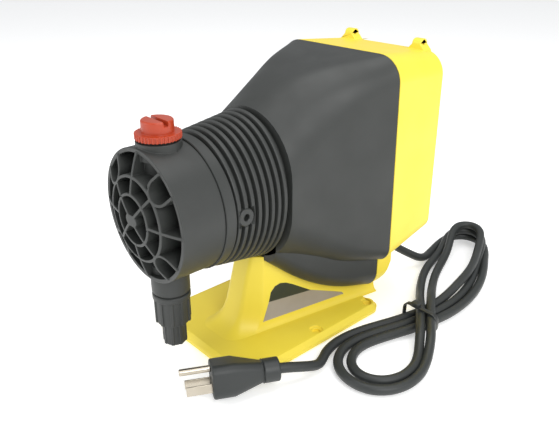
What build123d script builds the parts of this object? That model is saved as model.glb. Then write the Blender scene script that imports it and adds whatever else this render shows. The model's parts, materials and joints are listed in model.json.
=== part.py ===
from build123d import *
import math
import os

# Diaphragm metering pump, millimetres.
# Row frame: the origin is the centre of the four base holes on the floor plane, +Z up.
# The liquid end faces -Y, the control panel faces +Y, and X = 0 is the plane of symmetry.

# Overall places along the pump axis
axis_height = 123.0
seam_y = -112.0
head_depth = 32.5
finned_length = 57.5
body_length = 91.9
housing_depth = 60.1

# Clearances
slip = 0.05
gap = 0.3
loose = 0.5

# Liquid head
head_radius = 46.5
head_wall = 3.0
head_plate = 14.0
dome_rise = 9.3
web = 2.0
web_rings = (17.4, 29.1)
hub_length = 13.0
hub_width = 8.0
pocket_offset = 37.2
pocket_radius = 7.6
barrel_radius = 12.5
valve_setback = 16.5
boss_reach = 38.0
discharge_boss_radius = 15.0
discharge_boss_top = 172.5
suction_boss_radius = 13.7
suction_boss_bottom = 62.0
valve_bore = 9.0
valve_bore_start = 24.0
port_radius = 3.4
port_height = 17.0
chamber_radius = 27.0
chamber_floor_radius = 13.0
chamber_depth = 4.6

# Head screws and washers
screw_radius = 3.0
screw_head_radius = 5.0
screw_head_height = 5.5
screw_socket = 2.5
screw_grip = 25.5
washer_radius = 6.2
washer_thickness = 1.2

# Diaphragm and its support
diaphragm_radius = 32.5
diaphragm_rim = 3.0
diaphragm_bead = 3.5
diaphragm_web = 1.4
diaphragm_centre = 12.0
diaphragm_nose = 1.2
insert_radius = 11.0
insert_thickness = 3.5
support_thickness = 6.0
support_radius = 43.0
support_opening = 12.5

# Valves
seat_hole = 3.2
seat_thickness = 4.0
ball_radius = 4.6
ball_rest_gap = 0.1
cage_wall = 1.2
cage_top = 1.8
ball_lift = 2.0

# Vent plug on the discharge port
plug_gasket_thickness = 1.3
plug_gasket_outer = 12.5
plug_gasket_inner = 9.3
plug_thread = 8.8
plug_thread_length = 7.0
plug_flange_radius = 15.2
plug_flange_height = 4.0
plug_knurls = 36
plug_knurl_radius = 0.7
plug_drum_radius = 10.6
plug_drum_height = 8.3
plug_slot_width = 3.4
plug_slot_depth = 3.4

# Suction valve housing and coupling nut
suction_gasket = 1.4
housing_flange_radius = 13.7
housing_flange_height = 5.0
spigot_length = 18.0
spigot_bore = 6.6
ribbed_radius = 12.2
ribbed_height = 19.0
rib_count = 10
rib_width = 2.4
rib_rise = 0.9
stub_radius = 6.3
stub_height = 14.2
tube_bore = 4.9
nut_radius = 8.2
nut_height = 18.2
nut_floor = 2.2
nut_clearance = 0.2
nut_rib_count = 8
nut_rib_rise = 0.6
ferrule_height = 1.6

# Finned power unit housing
collar_radius = 47.6
collar_length = 8.5
collar_wall = 4.1
fin_count = 8
fin_pitch = 5.8
first_fin = 11.5
fin_thickness = 2.9
fin_half_width = 47.0
fin_first_half_height = 47.3
fin_last_half_height = 57.3
groove_depth = 4.2
front_wall = 7.0
solenoid_bore = 39.0
body_wall = 4.0
side_boss_radius = 6.2
side_boss_hole = 2.4
side_boss_depth = 8.0
side_boss_y = 17.0

# Body stations: share of the body length, half widths at top and bottom,
# top and bottom heights, top and bottom corner radii
body_stations = (
    (0.0, 47.2, 47.4, 180.6, 65.6, 46.0, 46.0),
    (0.18, 46.5, 48.6, 190.5, 60.5, 43.0, 40.0),
    (0.38, 47.5, 51.5, 199.5, 55.5, 38.0, 32.0),
    (0.65, 53.0, 57.5, 206.5, 50.5, 28.0, 21.0),
    (1.0, 61.2, 64.6, 211.5, 46.5, 20.0, 13.0),
)
chute_stations = (
    (0.0, 30.0, 30.0, 92.0, 64.0, 12.0, 13.0),
    (0.32, 38.5, 39.5, 84.0, 40.5, 12.0, 14.0),
    (0.65, 46.0, 47.0, 78.0, 25.0, 12.0, 15.0),
    (1.0, 53.0, 53.3, 74.0, 17.0, 12.0, 16.0),
)

# Yellow control housing
rear_section = (57.0, 58.6, 206.8, 56.0, 18.0, 11.0)
housing_wall = 3.0
chin_depth = 18.5
gasket_thickness = 1.0
gasket_inset = 0.8
gasket_land = 4.4
lug_spacing = 71.0
lug_width = 8.0
lug_foot = 17.0
lug_height = 8.6
lug_hole = 1.6
lug_rise = 5.6
lug_setback = 4.6
post_radius = 5.5
post_inset_x = 10.0
post_inset_z = 12.0
case_screw_radius = 2.0
case_screw_head = 4.0
case_screw_head_height = 2.6
boss_length = 16.0
boss_web = 3.0

# Control panel and electronics
panel_recess = 13.5
panel_thickness = 3.0
ledge_width = 4.0
ledge_thickness = 3.0
dial_radius = 27.0
dial_height = 0.8
stroke_knob_radius = 19.0
stroke_knob_height = 11.0
stroke_knob_grip = 6.0
stroke_shaft_radius = 4.0
speed_knob_radius = 10.5
speed_knob_height = 10.0
speed_x = 22.0
speed_z = 47.0
speed_shaft_radius = 3.0
pot_radius = 8.2
pot_depth = 11.0
board_width = 84.0
board_height = 104.0
board_thickness = 1.6
board_gap = 22.0
standoff_radius = 3.2
capacitor_radius = 9.0
capacitor_height = 25.0
transformer_size = (34.0, 26.0, 30.0)

# Solenoid
pole_plate_thickness = 8.0
bushing_radius = 6.5
shaft_radius = 5.0
wiper_radius = 10.0
wiper_thickness = 3.0
pole_radius = 16.0
pole_length = 26.5
spring_well_radius = 9.6
pole_well_depth = 14.0
armature_well_depth = 5.0
armature_gap = 3.2
armature_radius = 15.7
armature_length = 46.8
bobbin_wall = 2.0
bobbin_flange_radius = 34.0
winding_radius = 33.0
yoke_radius = 38.5
yoke_wall = 3.9
yoke_length = 74.5
rear_plate_thickness = 6.0
spring_wire = 0.9
spring_mean_radius = 7.4
spring_turns = 6
spring_steps = 12
bracket_radius = 26.0
bracket_cup_radius = 20.0
bracket_wall = 2.6
bracket_length = 12.0
bracket_floor = 5.0
bracket_screw_place = 23.0
bracket_screw_radius = 1.5
bracket_screw_head = 2.4
bracket_screw_length = 7.0
stop_width = 14.0
stop_length = 30.0
stop_bore_depth = 24.0
stop_rest_gap = 0.2

# Base
base_half_width = 60.0
base_front = -110.0
base_rear = 38.0
base_height = 7.0
base_bevel = 3.8
base_corner = 9.0
base_front_corner = 20.0
tongue_half_width = 33.0
tongue_rear = 52.0
base_wall = 3.4
hole_spacing_x = 101.4
hole_spacing_y = 60.9
base_hole = 3.3
base_dimple = 5.2
base_dimple_depth = 1.4
hole_boss = 8.5
flare_height = 9.0
pedestal_top = 72.0
side_start = 34.1
side_spread = 0.1756
side_lean = 0.128
base_screw_x = 18.0
base_screw_y = 28.0
base_screw_radius = 2.0
base_screw_head = 4.0
base_screw_seat = 8.0
base_screw_length = 21.0
base_boss_radius = 6.5
base_boss_top = 32.0
label_depth = 1.0
label_thickness = 0.8
label_outline = (
    (-62.0, 10.6),
    (-54.2, 28.0),
    (-51.4, 36.0),
    (-47.4, 39.9),
    (-42.5, 41.2),
    (-37.1, 40.0),
    (-30.8, 36.7),
    (-15.4, 27.0),
    (15.6, 15.4),
    (17.4, 13.4),
    (15.4, 12.0),
    (-26.6, 11.0),
    (-60.0, 9.4),
)

# Mains cord
cord_radius = 3.75
gland_x = 20.0
gland_z = 33.0
gland_seat = 56.5
gland_pad_radius = 9.5
gland_radius = 8.0
gland_flange = 4.0
relief_length = 20.0
relief_front_radius = 6.4
relief_rear_radius = 4.7
hank_height = 16.0
tie_height = 24.0
tie_width = 4.0
tie_band = 1.2
tie_lift = 1.6
exit_route = (
    (20.0, 80.8, 33.0),
    (20.1, 88.5, 32.4),
    (21.8, 97.5, 27.4),
    (25.2, 107.5, 19.6),
    (31.2, 118.4, 12.2),
)
tail_route = (
    (81.2, -59.2, 5.0),
    (81.1, -66.4, 7.6),
    (79.9, -74.4, 10.6),
    (77.6, -82.0, 12.9),
)
tail_bend = 2.5
tail_grip = 5.0
far_lobe = (
    (86.0, 41.0),
    (62.0, 72.0),
    (40.0, 108.0),
    (24.0, 146.0),
    (19.0, 184.0),
    (27.0, 207.0),
    (44.0, 213.0),
    (62.0, 198.0),
    (82.0, 166.0),
    (98.0, 136.0),
    (108.0, 104.0),
    (112.0, 74.0),
    (108.0, 41.0),
)
far_hole = (
    (88.0, 84.0),
    (70.0, 112.0),
    (54.0, 142.0),
    (47.0, 168.0),
    (62.0, 158.0),
    (78.0, 130.0),
    (88.0, 104.0),
)
near_lobe = (
    (86.0, 43.0),
    (72.0, 26.0),
    (66.0, 2.0),
    (66.0, -26.0),
    (76.0, -50.0),
    (96.0, -65.0),
    (120.0, -68.0),
    (138.0, -58.0),
    (142.0, -38.0),
    (134.0, -12.0),
    (121.0, 14.0),
    (108.0, 43.0),
)
near_hole = (
    (92.0, 18.0),
    (85.0, 0.0),
    (84.0, -18.0),
    (93.0, -32.0),
    (108.0, -32.0),
    (115.0, -18.0),
    (108.0, 2.0),
    (100.0, 18.0),
)
tie_centre = (97.0, 42.0)
tie_block = (34.0, 18.0)

# Plug
plug_face = (50.6, -133.2, 13.9)
plug_heading = 61.9
plug_roll = -16.0
plug_width = 25.0
plug_tall = 24.0
plug_body_length = 27.0
plug_neck = 9.0
plug_collar_radius = 8.6
plug_collar_length = 12.0
blade_gap = 12.7
blade_length = 17.9
blade_width = 6.35
blade_thickness = 1.5
ground_radius = 2.4
ground_length = 21.4
ground_offset = 11.9

# Values worked out from the sizes above
head_front_y = seam_y - head_depth
plate_front_y = seam_y - head_plate
valve_y = head_front_y + valve_setback
fin_end_y = seam_y + finned_length
joint_y = fin_end_y + body_length
housing_front_y = joint_y + gasket_thickness
rear_y = joint_y + housing_depth
recess_y = seam_y + support_thickness
cavity_y = recess_y + front_wall
pole_plate_rear = cavity_y + pole_plate_thickness
pole_rear = pole_plate_rear + pole_length
armature_front = pole_rear + armature_gap
armature_rear = armature_front + armature_length
yoke_rear = pole_plate_rear + yoke_length
bracket_screw_angles = (90, 210, 330)
panel_rear = rear_y - panel_recess
panel_front = panel_rear - panel_thickness
board_rear = panel_front - board_gap
insert_front = seam_y - diaphragm_rim + diaphragm_nose
insert_rear = insert_front + insert_thickness
discharge_base = axis_height + valve_bore_start
screw_angles = (45, 135, 225, 315)


def front(y, x=0.0, z=axis_height):
    """Plane across the pump axis that faces the liquid end."""
    return Plane(origin=(x, y, z), x_dir=(1, 0, 0), z_dir=(0, -1, 0))


def disc(y_rear, length, radius, x=0.0, z=axis_height):
    return extrude(front(y_rear, x, z) * Circle(radius), length)


def ring(y_rear, length, outer, inner, x=0.0, z=axis_height):
    return extrude(front(y_rear, x, z) * (Circle(outer) - Circle(inner)), length)


def column(z_low, height, radius):
    return extrude(Plane(origin=(0, valve_y, z_low)) * Circle(radius), height)


def sleeve(z_low, height, outer, inner):
    return extrude(Plane(origin=(0, valve_y, z_low)) * (Circle(outer) - Circle(inner)), height)


def joined(shapes):
    """One solid from pieces that overlap."""
    whole = shapes[0]
    for shape in shapes[1:]:
        whole = whole + shape
    return whole


def screw_places(radius=pocket_offset, angles=screw_angles):
    places = []
    for angle in angles:
        turn = math.radians(angle)
        places.append((radius * math.cos(turn), axis_height + radius * math.sin(turn)))
    return places


def rounded_quad(plane, top_half, bottom_half, top, bottom, top_corner, bottom_corner):
    """Upright face with four rounded corners, symmetric about X = 0."""
    corners = Polyline(
        (-top_half, top),
        (top_half, top),
        (bottom_half, bottom),
        (-bottom_half, bottom),
        close=True,
    )
    face = make_face(corners)
    ordered = face.vertices().sort_by(Axis.Y)
    face = fillet(ordered[:2], bottom_corner)
    ordered = face.vertices().sort_by(Axis.Y)
    face = fillet(ordered[-2:], top_corner)
    return plane * face


def station_face(y, sizes, inset=0.0):
    top_half, bottom_half, top, bottom, top_corner, bottom_corner = sizes
    return rounded_quad(
        front(y, 0.0, 0.0),
        top_half - inset,
        bottom_half - inset,
        top - inset,
        bottom + inset,
        max(top_corner - inset, 2.0),
        max(bottom_corner - inset, 2.0),
    )


def station_loft(stations, inset=0.0):
    """Body form through its stations, from the fins to the joint face."""
    faces = []
    for station in stations:
        y = fin_end_y + station[0] * body_length
        faces.append(station_face(y, station[1:], inset))
    return loft(faces, ruled=True)


# Liquid head
def dome_limit():
    radius = (head_radius ** 2 + dome_rise ** 2) / (2 * dome_rise)
    centre_y = head_front_y - dome_rise + radius
    return Pos(0, centre_y, axis_height) * Sphere(radius)


def pocket_outline(radius):
    """U shape that opens towards the rim, on the +X side."""
    reach = head_radius
    return Pos(pocket_offset, 0) * Circle(radius) + Pos(pocket_offset + reach / 2, 0) * Rectangle(reach, 2 * radius)


def web_outline():
    """Rings, spokes and screw pocket walls of the domed front."""
    lines = SlotOverall(hub_length, hub_width)
    inner_ring, outer_ring = web_rings
    for radius in web_rings:
        lines = lines + (Circle(radius + web / 2) - Circle(radius - web / 2))
    for angle in screw_angles:
        lines = lines + Rot(0, 0, angle) * (Pos(outer_ring / 2, 0) * Rectangle(outer_ring, web))
    rim_span = head_radius - inner_ring
    for angle in (0, 90, 180, 270):
        lines = lines + Rot(0, 0, angle) * (Pos(inner_ring + rim_span / 2, 0) * Rectangle(rim_span, web))
    for angle in screw_angles:
        lines = lines + Rot(0, 0, angle) * pocket_outline(pocket_radius + web)
    for angle in screw_angles:
        lines = lines - Rot(0, 0, angle) * pocket_outline(pocket_radius)
    return lines & Circle(head_radius - head_wall / 2)


def pump_head():
    web_depth = head_depth - head_plate + dome_rise + 1
    webs = extrude(front(plate_front_y) * web_outline(), web_depth) & dome_limit()
    plate = disc(seam_y, head_plate, head_radius)
    rim = ring(plate_front_y, head_depth - head_plate, head_radius, head_radius - head_wall)
    barrel_half = head_radius - head_wall
    barrel = column(axis_height - barrel_half, 2 * barrel_half, barrel_radius)
    barrel = barrel & dome_limit()
    boss_start = axis_height + boss_reach
    upper = column(boss_start, discharge_boss_top - boss_start, discharge_boss_radius)
    lower_top = axis_height - boss_reach
    lower = column(suction_boss_bottom, lower_top - suction_boss_bottom, suction_boss_radius)
    head = joined([plate, rim, barrel, upper, lower, webs])
    cuts = [
        column(discharge_base, discharge_boss_top - discharge_base, valve_bore),
        column(suction_boss_bottom, axis_height - valve_bore_start - suction_boss_bottom, valve_bore),
        disc(seam_y, diaphragm_rim, diaphragm_radius + gap),
        front(seam_y - diaphragm_rim)
        * Cone(chamber_radius, chamber_floor_radius, chamber_depth, align=(Align.CENTER, Align.CENTER, Align.MIN)),
    ]
    passage = valve_bore_start - port_height + port_radius
    cuts.append(column(axis_height + port_height - port_radius, passage, port_radius))
    cuts.append(column(axis_height - valve_bore_start, passage, port_radius))
    for side in (-1, 1):
        height = axis_height + side * port_height
        cuts.append(disc(seam_y - diaphragm_rim, seam_y - diaphragm_rim - valve_y, port_radius, 0.0, height))
    for x, z in screw_places():
        cuts.append(disc(seam_y, head_plate, screw_radius + gap, x, z))
    for cut in cuts:
        head = head - cut
    return head


def head_washers():
    hole = screw_radius + gap
    return [ring(plate_front_y, washer_thickness, washer_radius, hole, x, z) for x, z in screw_places()]


def head_screws():
    seat_y = plate_front_y - washer_thickness
    screws = []
    for x, z in screw_places():
        shank = disc(seat_y + screw_grip, screw_grip, screw_radius, x, z)
        head = disc(seat_y, screw_head_height, screw_head_radius, x, z)
        top_y = seat_y - screw_head_height
        socket = extrude(front(top_y + screw_socket, x, z) * RegularPolygon(screw_socket, 6), screw_socket)
        screws.append(shank + head - socket)
    return screws


# Diaphragm group
def diaphragm():
    """Moulded disc: clamped bead, thin rolled web and thick centre."""
    front_y = -diaphragm_rim
    middle = -diaphragm_rim / 2
    bead_inner = diaphragm_radius - diaphragm_bead
    profile = Polyline(
        (0, front_y - diaphragm_nose),
        (diaphragm_centre - 3, front_y - diaphragm_nose),
        (diaphragm_centre, middle - diaphragm_web / 2),
        (bead_inner, middle - diaphragm_web / 2),
        (bead_inner, front_y),
        (diaphragm_radius, front_y),
        (diaphragm_radius, 0),
        (bead_inner, 0),
        (bead_inner, middle + diaphragm_web / 2),
        (insert_radius + gap, middle + diaphragm_web / 2),
        (insert_radius + gap, front_y + diaphragm_nose),
        (0, front_y + diaphragm_nose),
        close=True,
    )
    plane = Plane(origin=(0, seam_y, axis_height), x_dir=(1, 0, 0), z_dir=(0, 0, 1))
    return revolve(plane * make_face(profile), Axis((0, seam_y, axis_height), (0, 1, 0)))


def diaphragm_insert():
    return disc(insert_rear, insert_thickness, insert_radius)


def diaphragm_support():
    plate = ring(recess_y, support_thickness, support_radius, support_opening)
    for x, z in screw_places():
        plate = plate - disc(recess_y, support_thickness, screw_radius + gap, x, z)
    return plate


# Valves
def seat_ring(z_low):
    return sleeve(z_low, seat_thickness, valve_bore - slip, seat_hole)


def ball_height(seat_top):
    return seat_top + math.sqrt(ball_radius ** 2 - seat_hole ** 2) + ball_rest_gap


def ball(seat_top):
    return Pos(0, valve_y, ball_height(seat_top)) * Sphere(ball_radius)


def cage(seat_top, outer):
    """Guide for the ball, with a cross at its top that stops the lift."""
    inner = ball_radius + gap
    stop_z = ball_height(seat_top) + ball_radius + ball_lift + gap
    wall = sleeve(seat_top, stop_z + cage_top - seat_top, outer, inner)
    bars = Rectangle(2 * inner + cage_wall, cage_wall) + Rectangle(cage_wall, 2 * inner + cage_wall)
    return wall + extrude(Plane(origin=(0, valve_y, stop_z)) * bars, cage_top)


# Vent plug
def plug_gasket():
    return sleeve(discharge_boss_top, plug_gasket_thickness, plug_gasket_outer, plug_gasket_inner)


def vent_plug():
    flange_z = discharge_boss_top + plug_gasket_thickness
    thread = column(flange_z - plug_thread_length, plug_thread_length, plug_thread)
    flange = column(flange_z, plug_flange_height, plug_flange_radius)
    drum_z = flange_z + plug_flange_height
    drum = column(drum_z, plug_drum_height, plug_drum_radius)
    drum = chamfer(drum.edges().group_by(Axis.Z)[-1], 0.8)
    plug = joined([thread, flange, drum])
    slot_z = drum_z + plug_drum_height - plug_slot_depth
    slot_plane = Plane(origin=(0, valve_y, slot_z))
    plug = plug - extrude(slot_plane * Rectangle(2 * plug_flange_radius, plug_slot_width), plug_slot_depth)
    notches = Sketch()
    for index in range(plug_knurls):
        notches = notches + Rot(0, 0, index * 360 / plug_knurls) * (
            Pos(plug_flange_radius, 0) * Rectangle(2 * plug_knurl_radius, 2 * plug_knurl_radius)
        )
    return plug - extrude(Plane(origin=(0, valve_y, flange_z)) * notches, plug_flange_height)


# Suction side, from the head down
suction_flange_top = suction_boss_bottom - suction_gasket
suction_flange_low = suction_flange_top - housing_flange_height
ribbed_low = suction_flange_low - ribbed_height
stub_low = ribbed_low - stub_height
suction_seat_top = suction_flange_top + seat_thickness
nut_top = ribbed_low - gap
nut_low = nut_top - nut_height
ferrule_low = nut_low + nut_floor


def ribs(radius, count, rise, width):
    outline = Circle(radius)
    for index in range(count):
        outline = outline + Rot(0, 0, index * 360 / count) * (
            Pos(radius / 2 + rise / 2, 0) * Rectangle(radius + rise, width)
        )
    return outline


def suction_gasket_ring():
    return sleeve(suction_flange_top, suction_gasket, valve_bore + 3.2, valve_bore + slip)


def suction_valve_housing():
    spigot = column(suction_flange_top, spigot_length, valve_bore - slip)
    flange = column(suction_flange_low, housing_flange_height, housing_flange_radius)
    flange = chamfer(flange.edges(), 0.8)
    ribbed = extrude(
        Plane(origin=(0, valve_y, ribbed_low)) * ribs(ribbed_radius, rib_count, rib_rise, rib_width), ribbed_height
    )
    stub = column(stub_low, stub_height, stub_radius)
    body = joined([spigot, flange, ribbed, stub])
    body = body - column(suction_flange_top, spigot_length, spigot_bore)
    return body - column(stub_low, suction_flange_top - stub_low, tube_bore - 1.0)


def suction_seat():
    return sleeve(suction_flange_top, seat_thickness, spigot_bore - slip, seat_hole)


def coupling_nut():
    shape = extrude(
        Plane(origin=(0, valve_y, nut_low)) * ribs(nut_radius, nut_rib_count, nut_rib_rise, rib_width), nut_height
    )
    shape = shape - column(nut_low + nut_floor, nut_height, stub_radius + nut_clearance)
    return shape - column(nut_low, nut_floor, tube_bore)


def tube_ferrule():
    height = min(ferrule_height, stub_low - ferrule_low - gap)
    return sleeve(ferrule_low, height, stub_radius, tube_bore)


# Power unit housing
def fin_half_height(y):
    share = (y - seam_y) / finned_length
    return fin_first_half_height + share * (fin_last_half_height - fin_first_half_height)


def finned_front():
    core_front = front(seam_y) * Ellipse(fin_half_width - groove_depth, fin_half_height(seam_y) - groove_depth)
    core_rear = front(fin_end_y) * Ellipse(
        fin_half_width - groove_depth, fin_half_height(fin_end_y) - groove_depth
    )
    shape = loft([core_rear.face(), core_front.face()]) + disc(seam_y + collar_length, collar_length, collar_radius)
    for index in range(fin_count):
        y = seam_y + first_fin + index * fin_pitch
        shape = shape + extrude(
            front(y + fin_thickness / 2) * Ellipse(fin_half_width, fin_half_height(y)), fin_thickness
        )
    return shape


def side_boss(radius, depth):
    plane = Plane(origin=(fin_half_width, seam_y + side_boss_y, axis_height), x_dir=(0, 1, 0), z_dir=(-1, 0, 0))
    return extrude(plane * Circle(radius), depth)


def body_bosses(hole=0.0):
    """Corner bosses for the case screws, each with a web to the side wall, and two for the base screws."""
    shapes = []
    for x, z in post_places(panel_rear):
        side = 1 if x > 0 else -1
        reach = body_stations[-1][1] - abs(x)
        if hole:
            shapes.append(disc(joint_y, boss_length - 2, hole, x, z))
        else:
            web_place = (x + side * reach / 2, joint_y - boss_length / 2, z)
            shapes.append(disc(joint_y, boss_length, post_radius, x, z))
            shapes.append(Pos(*web_place) * Box(reach, boss_length, boss_web))
    for side in (-1, 1):
        radius = hole if hole else base_boss_radius - 1.0
        height = base_boss_top - 2 if hole else base_boss_top
        shapes.append(Pos(side * base_screw_x, base_screw_y, height / 2) * Cylinder(radius, height))
    return shapes


def power_unit_housing():
    outer = finned_front() + station_loft(body_stations) + station_loft(chute_stations)
    outer = outer + side_boss(side_boss_radius, side_boss_depth)
    outer = outer - disc(recess_y, support_thickness, collar_radius - collar_wall)
    bore_rear = fin_end_y + body_wall
    outer = outer - disc(bore_rear, bore_rear - cavity_y, solenoid_bore)
    inner = station_loft(body_stations, body_wall) + station_loft(chute_stations, body_wall)
    inner_front = Pos(0, fin_end_y + body_wall + 200, axis_height) * Box(400, 400, 400)
    station_loft_pair = station_loft(body_stations, 1.0) + station_loft(chute_stations, 1.0)
    shell = outer - (inner & inner_front)
    for boss in body_bosses():
        shell = shell + (boss & station_loft_pair)
    for hole in body_bosses(case_screw_radius + slip):
        shell = shell - hole
    shell = shell - disc(cavity_y, front_wall, bushing_radius + slip)
    shell = shell - disc(recess_y + wiper_thickness, wiper_thickness, wiper_radius + slip)
    for x, z in screw_places():
        shell = shell - disc(recess_y + front_wall - 1, front_wall - 1, screw_radius + slip, x, z)
    return shell - side_boss(side_boss_hole, side_boss_depth / 2)


# Solenoid
def shaft_wiper():
    return ring(recess_y + wiper_thickness, wiper_thickness, wiper_radius, shaft_radius + slip)


def shaft_bushing():
    start = recess_y + wiper_thickness
    return ring(pole_plate_rear, pole_plate_rear - start, bushing_radius, shaft_radius + slip)


def pole_plate():
    return ring(pole_plate_rear, pole_plate_thickness, yoke_radius, bushing_radius + slip)


def pole_piece():
    pole = ring(pole_rear, pole_length, pole_radius, shaft_radius + gap)
    return pole - disc(pole_rear, pole_well_depth, spring_well_radius)


def armature():
    body = ring(armature_rear, armature_length, armature_radius, shaft_radius + 0.02)
    return body - disc(armature_front + armature_well_depth, armature_well_depth, spring_well_radius)


def armature_shaft():
    return disc(armature_rear, armature_rear - insert_rear, shaft_radius)


def coil_bobbin():
    rear_end = yoke_rear - rear_plate_thickness - gap
    start = pole_plate_rear + gap
    length = rear_end - start
    inner = pole_radius + gap
    spool = ring(rear_end, length, inner + bobbin_wall, inner)
    flange_front = ring(start + bobbin_wall, bobbin_wall, bobbin_flange_radius, inner)
    flange_rear = ring(rear_end, bobbin_wall, bobbin_flange_radius, inner)
    return spool + flange_front + flange_rear


def coil_winding():
    rear_end = yoke_rear - rear_plate_thickness - gap - bobbin_wall - slip
    start = pole_plate_rear + gap + bobbin_wall + slip
    return ring(rear_end, rear_end - start, winding_radius, pole_radius + gap + bobbin_wall + slip)


def yoke_shell():
    return ring(yoke_rear, yoke_length, yoke_radius, yoke_radius - yoke_wall)


def yoke_rear_plate():
    outer = yoke_radius - yoke_wall - slip
    plate = ring(yoke_rear, rear_plate_thickness, outer, armature_radius + gap)
    for x, z in screw_places(bracket_screw_place, bracket_screw_angles):
        plate = plate - disc(yoke_rear, rear_plate_thickness - 1, bracket_screw_radius + slip, x, z)
    return plate


def return_spring():
    """Coil spring between the wells of the pole piece and the armature."""
    start = pole_rear - pole_well_depth
    end = armature_front + armature_well_depth
    first = start + spring_wire + slip
    rise = (end - start - 2 * spring_wire - 2 * slip) / (spring_turns * spring_steps)
    step = 2 * math.pi / spring_steps
    sections = []
    for index in range(spring_turns * spring_steps + 1):
        turn = index * step
        outward = Vector(math.cos(turn), 0, math.sin(turn))
        along = Vector(-math.sin(turn) * spring_mean_radius * step, rise, math.cos(turn) * spring_mean_radius * step)
        place = Vector(0, first + index * rise, axis_height) + outward * spring_mean_radius
        sections.append(Plane(origin=place, x_dir=outward, z_dir=along) * RegularPolygon(spring_wire, 8))
    return loft(sections, ruled=True)


def stop_bracket():
    flange = ring(yoke_rear + bracket_wall, bracket_wall, bracket_radius, armature_radius + 1.5)
    end = yoke_rear + bracket_length + bracket_floor
    cup = ring(end, bracket_length + bracket_floor, bracket_cup_radius, armature_radius + 1.5)
    floor = disc(end, bracket_floor, bracket_cup_radius)
    hole = stop_width + 2 * slip
    window = extrude(front(end) * Rectangle(hole, hole), bracket_floor)
    bracket = flange + cup + floor - window
    for x, z in screw_places(bracket_screw_place, bracket_screw_angles):
        bracket = bracket - disc(yoke_rear + bracket_wall, bracket_wall, bracket_screw_radius + slip, x, z)
    return bracket


def bracket_screws():
    seat_y = yoke_rear + bracket_wall
    screws = []
    for x, z in screw_places(bracket_screw_place, bracket_screw_angles):
        shank = disc(seat_y, bracket_screw_length, bracket_screw_radius, x, z)
        screws.append(shank + disc(seat_y + 2.0, 2.0, bracket_screw_head, x, z))
    return screws


def stroke_stop():
    start = armature_rear + stop_rest_gap
    block = extrude(front(start + stop_length) * Rectangle(stop_width, stop_width), stop_length)
    return block - disc(start + stop_length, stop_bore_depth, stroke_shaft_radius + slip)


def stroke_shaft():
    tip = armature_rear + stop_rest_gap + stop_length - stop_bore_depth + 2.0
    end = panel_rear + stroke_knob_height - 2.0
    return disc(end, end - tip, stroke_shaft_radius)


# Control housing
def housing_share(y):
    return (y - joint_y) / housing_depth


def housing_sizes(y):
    share = housing_share(y)
    return [a + share * (b - a) for a, b in zip(body_stations[-1][1:], rear_section)]


def housing_loft(y_start, y_end, inset=0.0):
    return loft([station_face(y_start, housing_sizes(y_start), inset), station_face(y_end, housing_sizes(y_end), inset)])


def chin(inset=0.0):
    y_start = housing_front_y
    length = chin_depth - gasket_thickness - inset
    face = station_face(y_start + length, chute_stations[-1][1:], inset)
    shape = extrude(face, length)
    shift = 0.75 * inset
    below = Polyline(
        (39.5 - shift, 17.0 + shift),
        (50.0 - shift, 26.5 + shift),
        (56.0 - shift, 38.0 + shift),
        (80.0, 38.0 + shift),
        (80.0, 0.0),
        (39.5 - shift, 0.0),
        close=True,
    )
    plane = Plane(origin=(-100, 0, 0), x_dir=(0, 1, 0), z_dir=(1, 0, 0))
    return shape - extrude(plane * make_face(below), 200)


def lug(x):
    """Upright ear with a cross hole, on top of the housing's rear edge."""
    centre_y = rear_y - lug_setback
    sizes = housing_sizes(centre_y)
    top = sizes[2]
    profile = Polyline(
        (-lug_foot / 2, -3.0),
        (lug_foot / 2, -3.0),
        (lug_foot / 2, 0.0),
        (lug_width / 2, lug_height - lug_width / 2),
        (lug_width / 2, lug_height),
        (-lug_width / 2, lug_height),
        (-lug_width / 2, lug_height - lug_width / 2),
        (-lug_foot / 2, 0.0),
        close=True,
    )
    plane = front(rear_y, x, top)
    ear = extrude(plane * make_face(profile), 2 * lug_setback)
    ear = fillet(ear.edges().filter_by(Axis.X).group_by(Axis.Z)[-1], lug_setback - 0.6)
    across = Plane(origin=(x - lug_foot, centre_y, top + lug_rise), x_dir=(0, 1, 0), z_dir=(1, 0, 0))
    return ear, extrude(across * Circle(lug_hole), 2 * lug_foot)


def post_places(y):
    top_half, bottom_half, top, bottom = housing_sizes(y)[:4]
    places = []
    for side in (-1, 1):
        places.append((side * (top_half - post_inset_x), top - post_inset_z))
        places.append((side * (bottom_half - post_inset_x), bottom + post_inset_z))
    return places


def rear_housing():
    shell = housing_loft(housing_front_y, rear_y) + chin()
    ears = [lug(side * lug_spacing / 2) for side in (-1, 1)]
    for ear, _ in ears:
        shell = shell + ear
    inner = housing_loft(housing_front_y, rear_y, housing_wall)
    ledge_front = panel_front - ledge_thickness
    ledge_zone = extrude(station_face(panel_front, housing_sizes(panel_front), housing_wall - 1), ledge_thickness)
    opening = extrude(
        station_face(panel_front, housing_sizes(panel_front), housing_wall + ledge_width), ledge_thickness
    )
    inner = inner - (ledge_zone - opening)
    shell = shell - inner - chin(housing_wall)
    post_length = panel_front - housing_front_y
    inside = housing_loft(housing_front_y, rear_y, 1.0)
    for x, z in post_places(panel_rear):
        shell = shell + (disc(panel_front, post_length, post_radius, x, z) & inside)
    shell = shell + disc(gland_seat, gland_seat - 46.0, gland_pad_radius, gland_x, gland_z)
    for x, z in post_places(panel_rear):
        shell = shell - disc(panel_front, post_length, case_screw_radius + gap, x, z)
    for _, hole in ears:
        shell = shell - hole
    return shell - disc(gland_seat, 20.0, gland_radius - 2.0, gland_x, gland_z)


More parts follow.
